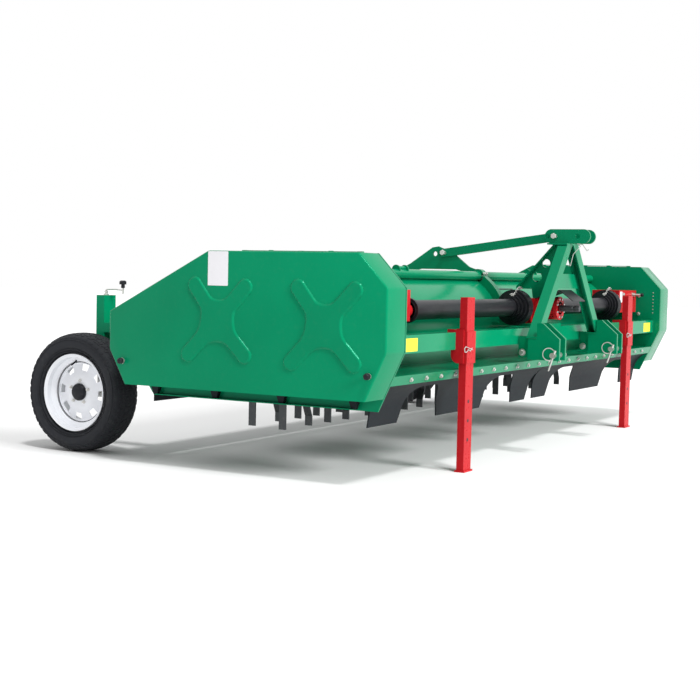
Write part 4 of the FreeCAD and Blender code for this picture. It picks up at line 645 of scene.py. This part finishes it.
# %% Gearbox castings and bolts
CASE_FRONT = FRONT + 0.110
CASE_HALF = 0.075
CASE_TOP = SHAFT_Z + 0.050
FLANGE_BOLTS = 8
NOSE_RING = 0.051
SIDE_RING = 0.043
nose = Vector((0, NOSE_Y, SHAFT_Z))
cast_mesh = bmesh.new()
bolt_mesh = bmesh.new()
for index in range(FLANGE_BOLTS):
    angle = math.pi * 2 * (index + 0.5) / FLANGE_BOLTS
    around = Vector((math.cos(angle), 0, math.sin(angle)))
    seat = nose + around * NOSE_RING + Vector((0, 0.001, 0))
    rod(cast_mesh, seat, seat + Vector((0, 0.033, 0)), 0.0115, 14)
    hex_bolt(bolt_mesh, seat, (0, -1, 0), 0.011)
turned(cast_mesh, nose + Vector((0, 0.0005, 0)), (0, -1, 0),
       [(0.0, 0.036), (0.0005, 0.036), (0.0005, 0.024), (-0.001, 0.022)], 36)
for index in range(FLANGE_BOLTS):
    angle = math.pi * 2 * index / FLANGE_BOLTS
    around = Vector((math.cos(angle), 0, math.sin(angle)))
    across = around.cross(Vector((0, 1, 0)))
    rib_middle = nose + Vector((0, 0.062, 0)) + around * 0.0535 - across * 0.003
    flat_piece(cast_mesh, rib_middle, (0, 1, 0), around, 0.085, 0.015, 0.006)
for side in SIDES.values():
    for index in range(FLANGE_BOLTS):
        angle = math.pi * 2 * (index + 0.5) / FLANGE_BOLTS
        seat = spot(side * 0.131, 0.200 + math.cos(angle) * SIDE_RING,
                    SHAFT_Z + math.sin(angle) * SIDE_RING)
        hex_bolt(bolt_mesh, seat, (side, 0, 0), 0.010)
    for step in range(4):
        foot = Vector((side * CASE_HALF, CASE_FRONT + 0.030 + step * 0.040, SHAFT_Z - 0.017))
        flat_piece(cast_mesh, foot, (0, side, 0), (0, 0, 1), 0.007, 0.120, 0.012, corner=0.003)
turned(cast_mesh, Vector((-0.040, CASE_FRONT + 0.120, CASE_TOP - 0.001)), (0, 0, 1),
       [(0.0, 0.016), (0.008, 0.016), (0.010, 0.011), (0.018, 0.011), (0.018, 0.008)], 18)
finish(cast_mesh, "gearbox_castings", "red_paint", "frame", slot="red_paint")
finish(bolt_mesh, "gearbox_bolts", "zinc", "frame", slot="zinc")

# %% Guard ribs and chains
guard_low, guard_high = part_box("half_shaft_guards")
GUARD_Y = FRONT + 0.200
rib_mesh = bmesh.new()
chain_mesh = bmesh.new()
BELL_MOUTHS = (-0.137, guard_high.x)
# (distance from the bell's mouth, radius) of each rib
BELL_RIBS = ((0.002, 0.0960), (0.022, 0.0960), (0.042, 0.0960), (0.066, 0.0838), (0.086, 0.0715),
             (0.106, 0.0610))
CHAIN_LINKS = 15
for mouth in BELL_MOUTHS:
    for distance, radius in BELL_RIBS:
        turned(rib_mesh, Vector((mouth - distance, GUARD_Y, SHAFT_Z)), (-1, 0, 0),
               [(0.0, radius - 0.003), (0.001, radius), (0.005, radius), (0.006, radius - 0.003)],
               48, closed=False)
    tube_end = mouth - 0.120
    turned(rib_mesh, Vector((tube_end, GUARD_Y, SHAFT_Z)), (-1, 0, 0),
           [(0.0, 0.047), (0.002, 0.050), (0.014, 0.050), (0.016, 0.047)], 48, closed=False)
    for index in range(CHAIN_LINKS):
        share = index / (CHAIN_LINKS - 1)
        x = mouth + 0.022 - share * 0.170
        lift = 0.102 - 0.030 * share + 0.010 * math.sin(share * math.pi * 2.0)
        centre = Vector((x, GUARD_Y - 0.012 - 0.014 * share, SHAFT_Z + lift))
        facing = (0, 1, 0.3) if index % 2 else (0.2, 0.3, 1)
        ring(chain_mesh, centre, facing, 0.0078, 0.0016, steps=12)
turned(rib_mesh, Vector((guard_low.x + 0.02, GUARD_Y, SHAFT_Z)), (-1, 0, 0),
       [(0.0, 0.046), (0.0, 0.058), (0.016, 0.058), (0.016, 0.047)], 48, closed=False)
finish(rib_mesh, "guard_ribs", "black_plastic", "frame", slot="black_plastic")
finish(chain_mesh, "guard_chains", "zinc", "frame", slot="zinc")

# %% Bearing housings: bolts, tension screw and a blank label
housing_low, housing_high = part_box("left_bearing_housing")
HOUSING_FACE = 1.470
HOUSING_FRONT = housing_low.y
bolt_mesh = bmesh.new()
knob_mesh = bmesh.new()
for side in SIDES.values():
    for step_y, step_z in ((-0.022, 0.055), (0.055, 0.055), (-0.022, -0.028), (0.100, -0.028)):
        seat = Vector((side * HOUSING_FACE, GUARD_Y + step_y, SHAFT_Z + step_z))
        hex_bolt(bolt_mesh, seat, (-side, 0, 0), 0.015, 0.012)
    for x in (1.55, 1.74):
        seat = Vector((side * x, HOUSING_FRONT, housing_high.z - 0.025))
        hex_bolt(bolt_mesh, seat, (0, -1, 0), 0.015, 0.012)
    screw_start = Vector((side * 1.765, HOUSING_FRONT + 0.002, housing_high.z - 0.028))
    turned(bolt_mesh, screw_start, (0, -1, 0),
           [(0.0, 0.013), (0.010, 0.013), (0.010, 0.007), (0.052, 0.007)], 18)
    turned(knob_mesh, screw_start + Vector((0, -0.052, 0)), (0, -1, 0),
           [(0.0, 0.009), (0.002, 0.011), (0.016, 0.011), (0.018, 0.009)], 20)
    for step in (-0.060, 0.060):
        seat = Vector((side * 1.822, HOUSING_FRONT - 0.022, SHAFT_Z + step))
        hex_bolt(bolt_mesh, seat, (-side, 0, 0), 0.015, 0.012)
finish(bolt_mesh, "housing_bolts", "zinc", "frame", slot="zinc")
finish(knob_mesh, "tension_caps", "black_plastic", "frame", slot="black_plastic")
label_mesh = bmesh.new()
label_seat = Vector((1.512, HOUSING_FRONT, 0.802))
flat_piece(label_mesh, label_seat, (1, 0, 0), (0, 0, 1), 0.046, 0.070, LABEL, 0.003)
finish(label_mesh, "housing_label", "white_label", "frame")

# %% [markdown]
# ## Mast, tie and tubes
# The mast's pins are held by nuts, and the top link's own locking pin hangs on a wire clip. Collars
# clamp the tie's ear to the two top tubes. Where plates meet, a welded machine has beads. A bead is
# a thin rough roll laid in the corner: seen close up it is what tells welded steel from moulding.

# %% Nuts, clip and collar bolts
bolt_mesh = bmesh.new()
tie_low, tie_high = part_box("tie_pins")
PIN_RADIUS = 0.0125
front_pin = Vector((0, tie_low.y + PIN_RADIUS, tie_high.z - PIN_RADIUS))
rear_pin = Vector((0, tie_high.y - PIN_RADIUS, tie_low.z + PIN_RADIUS))
for way in (-1, 1):
    for middle, out in ((front_pin, tie_high.x), (rear_pin, 0.028)):
        hex_bolt(bolt_mesh, middle + Vector((way * out, 0, 0)), (way, 0, 0), 0.028)
TUBE_Z = 0.917
for y in (0.490, 0.990):
    for way in (-1, 1):
        for x in (-0.015, 0.015):
            seat = spot(x, y + way * 0.036, TUBE_Z + 0.012)
            hex_bolt(bolt_mesh, seat, (0, way, 0.35), 0.012, 0.010)
finish(bolt_mesh, "mast_nuts", "zinc", "frame", slot="zinc")

clip_mesh = bmesh.new()
long_leg = (spot(-0.046, -0.098, 1.098), spot(-0.050, -0.118, 1.086), spot(-0.050, -0.078, 1.043),
            spot(-0.052, -0.064, 0.980))
short_leg = (long_leg[0], spot(-0.050, -0.130, 1.094), spot(-0.050, -0.154, 1.062),
             spot(-0.050, -0.164, 1.068))
wire(clip_mesh, long_leg, CLIP_WIRE)
wire(clip_mesh, short_leg, 0.0026)
finish(clip_mesh, "head_clip", "zinc", "frame", slot="zinc")

# %% Lifting lugs, and painted shade for a slot on the hood
lug_mesh = bmesh.new()
for x in (-0.95, 0.76):
    for step in (-1, 1):
        centre = spot(x + step * 0.040, 0.490, 0.940)
        turned(lug_mesh, centre, (step, 0, 0), [(0.0, 0.022), (0.010, 0.022), (0.010, 0.010)], 28)
    rod(lug_mesh, spot(x - 0.045, 0.490, 0.947), spot(x + 0.045, 0.490, 0.947), 0.009, 16)
finish(lug_mesh, "tube_lugs", "green_paint", "frame", slot="green_paint")
# The thin black strip on the hood is painted shade: it stands for the dark inside of a slot.
slot_shade_mesh = bmesh.new()
flat_piece(slot_shade_mesh, spot(0.250, 0.4335, 0.8445), (1, 0, 0), (0, 0.70, 0.71),
           0.200, 0.008, 0.001, 0.003)
finish(slot_shade_mesh, "hood_slot_shade", "black_plastic", "frame")

# %% Weld beads


def bead(mesh, start, end, radius=0.004):
    """A weld: a rod in short stretches whose width goes up and down a little."""
    line = end - start
    count = max(int(line.length / 0.012), 4)
    rings = []
    for index in range(count + 1):
        wave = 0.85 + 0.15 * math.cos(index * 2.1)
        rings.append((line.length * index / count, radius * wave))
    turned(mesh, start, line, rings, 6)


bead_mesh = bmesh.new()
mount_low, mount_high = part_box("gearbox_mount")
beam_low, beam_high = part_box("front_beam")
for x in (mount_low.x, mount_high.x):
    bead(bead_mesh, Vector((x, mount_low.y, mount_low.z)), Vector((x, beam_high.y, mount_low.z)))
for side in SIDES.values():
    face = side * 1.822
    bead(bead_mesh, Vector((face, beam_low.y, beam_low.z)), Vector((face, beam_low.y, beam_high.z)))
    bead(bead_mesh, Vector((face, beam_low.y, beam_high.z)), Vector((face, beam_high.y, beam_high.z)))
    bead(bead_mesh, Vector((face, FRONT + 0.350, 0.478)), Vector((face, FRONT + 0.350, 0.640)))
    bead(bead_mesh, spot(side * BRACKET_MIDDLE - 0.047, -0.057, 0.614),
         spot(side * BRACKET_MIDDLE + 0.045, -0.057, 0.614))
    for way in (-1, 1):
        edge_x = side * BRACKET_MIDDLE + way * 0.049
        bead(bead_mesh, spot(edge_x, -0.062, 0.605), spot(edge_x, -0.006, 0.605), 0.003)
        foot_x = side * BRACKET_MIDDLE + way * 0.026
        bead(bead_mesh, spot(foot_x, 0.043, 0.506), spot(foot_x, 0.043, 0.610), 0.003)
for way in (-1, 1):
    bead(bead_mesh, spot(way * 0.006, 0.014, 1.090), spot(way * 0.006, 0.014, 0.968), 0.003)
    bead(bead_mesh, spot(way * 0.036, -0.055, 1.101), spot(way * 0.036, 0.055, 1.101), 0.003)
finish(bead_mesh, "weld_beads", "weld_bead", "frame")

# %% [markdown]
# ## Skirts
# Under the covers, the end plates carry a folded skirt with small wedge brackets. The rivets on the
# plate's inside are where its stiffener is fixed. They are small, but they break up the largest flat
# areas of the whole machine.

# %% Skirt angle, wedges and rivets
skirt_mesh = bmesh.new()
wedge_mesh = bmesh.new()
rivet_mesh = bmesh.new()
for side in SIDES.values():
    face = side * 1.830
    flat_piece(skirt_mesh, spot(face, 0.760, 0.350), (0, side, 0), (0, 0, 1), 1.060, 0.040, 0.004)
    flat_piece(skirt_mesh, spot(face + side * 0.020, 0.760, 0.330), (0, 1, 0), (1, 0, 0),
               1.060, 0.036, 0.003)
    for y in (0.230, 0.600, 0.960, 1.300):
        before = set(wedge_mesh.verts)
        bmesh.ops.create_cone(wedge_mesh, cap_ends=True, segments=4, radius1=0.034, radius2=0.016,
                              depth=0.050)
        new = added(wedge_mesh, before)
        bmesh.ops.rotate(wedge_mesh, verts=new, cent=(0, 0, 0),
                         matrix=Matrix.Rotation(math.pi / 4, 3, "Z"))
        bmesh.ops.scale(wedge_mesh, verts=new, vec=(0.7, 1.0, -1.0))
        bmesh.ops.translate(wedge_mesh, verts=new, vec=spot(face + side * 0.018, y, 0.352))
    for index in range(7):
        seat = spot(side * 1.822, 0.048, 0.700 + 0.022 * index)
        turned(rivet_mesh, seat, (-side, 0, 0), [(0.0, 0.004), (0.0015, 0.0035), (0.002, 0.002)], 12)
finish(skirt_mesh, "skirt_angles", "green_paint", "frame", slot="green_paint")
finish(wedge_mesh, "skirt_wedges", "black_rubber", "frame", slot="black_rubber")
finish(rivet_mesh, "plate_rivets", "zinc", "frame", slot="zinc")

# %% [markdown]
# ## Wheels
# The tyre is spun from a rounded section. Its tread is then pressed out of the spun faces: they are
# picked in a pattern by their place round the wheel, inset and pushed outwards. Blocks could be
# modelled singly and copied round, but picking faces keeps tread and carcass one clean surface. The
# rim grows ring by ring, and its windows are faces that are taken out before it is given thickness.

# %% Tyres with tread blocks
WHEEL_X = 1.722
WHEEL_Z = 0.295
WHEEL_Y = FRONT + 1.857
TYRE_RADIUS = 0.295
TYRE_STEPS = 132
TREAD_DEPTH = 0.0024
BEAD_RADIUS = 0.180


def tyre_section(mesh):
    """A rounded box for a section: a circle whose points are pushed towards its corners."""
    made = bmesh.ops.create_circle(mesh, cap_ends=False, segments=44, radius=1.0,
                                   matrix=Matrix.Rotation(math.pi / 2, 4, "X"))["verts"]
    middle = (TYRE_RADIUS - TREAD_DEPTH + BEAD_RADIUS) / 2
    half_height = (TYRE_RADIUS - TREAD_DEPTH - BEAD_RADIUS) / 2
    for vert in made:
        x, z = vert.co.x, vert.co.z
        power = 3.0 if z > 0 else 2.1
        length = (abs(x) ** power + abs(z) ** power) ** (1 / power)
        narrow = 1.0 - 0.24 * max(-z / length, 0.0) ** 1.5
        vert.co = Vector((x / length * 0.0925 * narrow, 0, middle + z / length * half_height))
    return made


def tyre(name, side):
    """A spun tyre with tread blocks and thin rings on its walls, in place of the plain one."""
    mesh = bmesh.new()
    section = tyre_section(mesh)
    bmesh.ops.spin(mesh, geom=section + mesh.edges[:], cent=(0, 0, 0), axis=(1, 0, 0),
                   angle=math.pi * 2, steps=TYRE_STEPS, use_merge=True)
    bmesh.ops.recalc_face_normals(mesh, faces=mesh.faces)
    blocks = []
    for face in mesh.faces:
        centre = face.calc_center_median()
        radius = math.hypot(centre.y, centre.z)
        turn = math.atan2(centre.z, centre.y) / (math.pi * 2) * TYRE_STEPS
        column = round(centre.x / 0.012)
        if radius > 0.268 and int(turn + column * 1.5 + TYRE_STEPS * 2) % 3 and column % 3:
            blocks.append(face)
    bmesh.ops.inset_individual(mesh, faces=blocks, thickness=0.0008, depth=TREAD_DEPTH)
    for radius, out in ((0.262, 0.0905), (0.214, 0.0875), (0.202, 0.0835)):
        for way in (-1, 1):
            ring(mesh, Vector((way * out, 0, 0)), (1, 0, 0), radius, 0.0022, steps=72)
    matrix = Matrix.Translation((side * WHEEL_X, WHEEL_Y, WHEEL_Z))
    bmesh.ops.transform(mesh, matrix=matrix, verts=mesh.verts[:])
    piece = finish(mesh, f"{name}_treaded_tyre", "tyre_rubber", f"{name}_wheel", 40.0, "tyre_rubber")
    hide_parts(f"{name}_tyre")


for side_name, side in SIDES.items():
    tyre(side_name, side)

# %% Rims, studs, hub caps and valves
RIM_SEGMENTS = 80
# (distance outwards from the wheel's middle, radius) from the outer lip to the hub
RIM_PROFILE = (
    (0.0750, 0.1905), (0.0700, 0.1850), (0.0660, 0.1760), (0.0400, 0.1745), (0.0300, 0.1560),
    (0.0160, 0.1500), (0.0060, 0.1460), (0.0030, 0.1400), (0.0100, 0.1060), (0.0200, 0.0860),
    (0.0240, 0.0700), (0.0240, 0.0340),
)
RIM_BACK = ((-0.0280, 0.1480), (-0.0400, 0.1740), (-0.0680, 0.1760), (-0.0740, 0.1905))


def rim(name, side):
    """A dished rim with windows, in place of the plain one, and its studs, hub cap and valve."""
    mesh = bmesh.new()
    outward = (side, 0, 0)
    centre = Vector((side * WHEEL_X, WHEEL_Y, WHEEL_Z))
    turned(mesh, centre, outward, RIM_PROFILE, RIM_SEGMENTS, closed=False)
    windows = []
    for face in mesh.faces:
        middle = face.calc_center_median() - centre
        radius = math.hypot(middle.y, middle.z)
        turn = math.atan2(middle.z, middle.y) / (math.pi * 2) * RIM_SEGMENTS + 0.5
        if 0.110 < radius < 0.130 and int(turn + RIM_SEGMENTS * 2) % 10 < 4:
            windows.append(face)
    bmesh.ops.delete(mesh, geom=windows, context="FACES")
    turned(mesh, centre, outward, ((0.0160, 0.1500),) + RIM_BACK, RIM_SEGMENTS, closed=False)
    bmesh.ops.remove_doubles(mesh, verts=mesh.verts[:], dist=1e-5)
    bmesh.ops.recalc_face_normals(mesh, faces=mesh.faces)
    bmesh.ops.solidify(mesh, geom=mesh.faces[:], thickness=0.0030)
    turned(mesh, centre, outward,
           [(-0.048, 0.030), (-0.046, 0.036), (0.022, 0.036), (0.024, 0.034)], 36)
    piece = finish(mesh, f"{name}_dished_rim", "white_paint", f"{name}_wheel", slot="white_paint")
    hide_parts(f"{name}_rim")
    studs = bmesh.new()
    caps = bmesh.new()
    turned(caps, centre, outward,
           [(0.022, 0.043), (0.036, 0.043), (0.043, 0.038), (0.047, 0.026)], 36)
    for index in range(5):
        angle = math.pi * 2 * (index + 0.3) / 5
        seat = centre + Vector((side * 0.0235, math.cos(angle) * 0.057, math.sin(angle) * 0.057))
        hex_bolt(studs, seat, outward, 0.015)
        turned(caps, seat, outward, [(0.0, 0.0135), (0.001, 0.0135), (0.001, 0.009)], 20)
        turned(studs, seat, outward, [(0.008, 0.0045), (0.017, 0.0045), (0.018, 0.0035)], 14)
    valve = centre + Vector((side * 0.030, 0.020, 0.155))
    rod(caps, valve, valve + Vector((side * 0.032, 0.004, -0.020)), 0.0045, 12)
    finish(studs, f"{name}_wheel_studs", "zinc", f"{name}_wheel", slot="zinc")
    finish(caps, f"{name}_hub_cap", "black_plastic", f"{name}_wheel", slot="black_plastic")


for side_name, side in SIDES.items():
    rim(side_name, side)

# %% Depth cranks
# A thin bent rod turns the screw in the post; the hand knob stands on its far end.
post_low, post_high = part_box("left_wheel_post")
POST_X = (post_low.x + post_high.x) / 2
# (distance back, height) from the hub's seat to each bend of the rod and to its grip
CRANK_BENDS = ((0.010, 0.018), (-0.004, 0.028), (-0.060, 0.030), (-0.108, 0.026))
crank_mesh = bmesh.new()
knob_mesh = bmesh.new()
for side in SIDES.values():
    hub_top = Vector((side * POST_X, WHEEL_Y, post_high.z))
    turned(crank_mesh, hub_top, (0, 0, 1),
           [(0.0, 0.013), (0.006, 0.013), (0.008, 0.008), (0.022, 0.008)], 20)
    bends = [hub_top + Vector((0, y, z)) for y, z in CRANK_BENDS]
    grip = bends[-1]
    wire(crank_mesh, bends, 0.0035)
    rod(crank_mesh, grip - Vector((0, 0, 0.018)), grip + Vector((0, 0, 0.020)), 0.0045, 14)
    turned(knob_mesh, grip + Vector((0, 0, 0.012)), (0, 0, 1),
           [(0.0, 0.008), (0.003, 0.010), (0.018, 0.009), (0.020, 0.011)], 24)
    lobed_knob(knob_mesh, grip + Vector((0, 0, 0.030)), (0, 0, 1), 0.0185, 0.020)
crank_piece = finish(crank_mesh, "crank_rods", "zinc", "frame", slot="zinc")
finish(knob_mesh, "crank_knobs", "black_plastic", "frame", slot="black_plastic")
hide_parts("depth_cranks")

# %% [markdown]
# ## Studio
# The machine stands on a white floor in white light, like a catalogue picture. The sky is white for
# the camera, and the same white at a plain level lights the machine, so that a colour in the list
# above comes out as it was written. One sun from the front shapes the machine, and a small hard one
# from high in front gives the folds and the pressed crosses their bright lines. Even light all round
# would be simpler, but it would leave the big green faces without any shape.

# %% Floor, light and camera
SKY_STRENGTH = 0.55
# name: strength, width in degrees, direction that the light travels
SUNS = {
    "front_sun": (3.0, 22.0, (0.12, 0.88, -0.43)),
    "edge_sun": (1.3, 7.0, (0.27, 0.40, -0.88)),
}
floor_mesh = bmesh.new()
bmesh.ops.create_grid(floor_mesh, x_segments=1, y_segments=1, size=40.0)
floor_data = bpy.data.meshes.new("floor")
floor_mesh.to_mesh(floor_data)
floor_mesh.free()
floor = bpy.data.objects.new("floor", floor_data)
bpy.context.collection.objects.link(floor)


def see_white(tree, shader, output):
    """Show plain white instead of the sky to the camera, to mirrors and through glass."""
    nodes, links = tree.nodes, tree.links
    path = nodes.new("ShaderNodeLightPath")
    seen = path.outputs["Is Camera Ray"]
    for name in ("Is Glossy Ray", "Is Transmission Ray"):
        either = nodes.new("ShaderNodeMath")
        either.operation = "MAXIMUM"
        links.new(seen, either.inputs[0])
        links.new(path.outputs[name], either.inputs[1])
        seen = either.outputs["Value"]
    white = nodes.new("ShaderNodeBackground")
    white.inputs["Color"].default_value = (1.0, 1.0, 1.0, 1.0)
    white.inputs["Strength"].default_value = 1.0
    mix = nodes.new("ShaderNodeMixShader")
    links.new(seen, mix.inputs[0])
    links.new(shader.outputs[0], mix.inputs[1])
    links.new(white.outputs[0], mix.inputs[2])
    links.new(mix.outputs[0], output.inputs["Surface"])


world = bpy.data.worlds.new("studio")
bpy.context.scene.world = world
world.use_nodes = True
sky = world.node_tree.nodes["Background"]
sky.inputs["Color"].default_value = (1.0, 1.0, 1.0, 1.0)
sky.inputs["Strength"].default_value = SKY_STRENGTH
see_white(world.node_tree, sky, world.node_tree.nodes["World Output"])

floor_material = bpy.data.materials.new("floor_white")
floor_material.use_nodes = True
floor_shader = floor_material.node_tree.nodes["Principled BSDF"]
floor_shader.inputs["Base Color"].default_value = (0.93, 0.93, 0.93, 1.0)
floor_shader.inputs["Roughness"].default_value = 0.9
floor_shader.inputs["Specular IOR Level"].default_value = 0.0
floor_data.materials.append(floor_material)

for sun_name, (strength, width, travels) in SUNS.items():
    sun_data = bpy.data.lights.new(sun_name, "SUN")
    sun_data.energy = strength
    sun_data.angle = math.radians(width)
    sun = bpy.data.objects.new(sun_name, sun_data)
    bpy.context.collection.objects.link(sun)
    sun.rotation_mode = "QUATERNION"
    sun.rotation_quaternion = Vector(travels).to_track_quat("-Z", "Y")

camera_data = bpy.data.cameras.new("camera")
camera_data.sensor_width = 36.0
camera_data.lens = 68.67
camera = bpy.data.objects.new("camera", camera_data)
bpy.context.collection.objects.link(camera)
bpy.context.scene.camera = camera
yaw, pitch, roll = math.radians(29.62), math.radians(3.2), math.radians(1.26)
forward = Vector((math.cos(yaw) * math.cos(pitch), math.sin(yaw) * math.cos(pitch), -math.sin(pitch)))
camera.rotation_mode = "QUATERNION"
camera.rotation_quaternion = Quaternion(forward, -roll) @ forward.to_track_quat("-Z", "Y")
camera.location = (-6.846, FRONT - 2.584, 0.904)
bpy.context.scene.view_settings.view_transform = "Standard"
print("camera is", round(camera.location.length, 2), "m from the machine's middle")
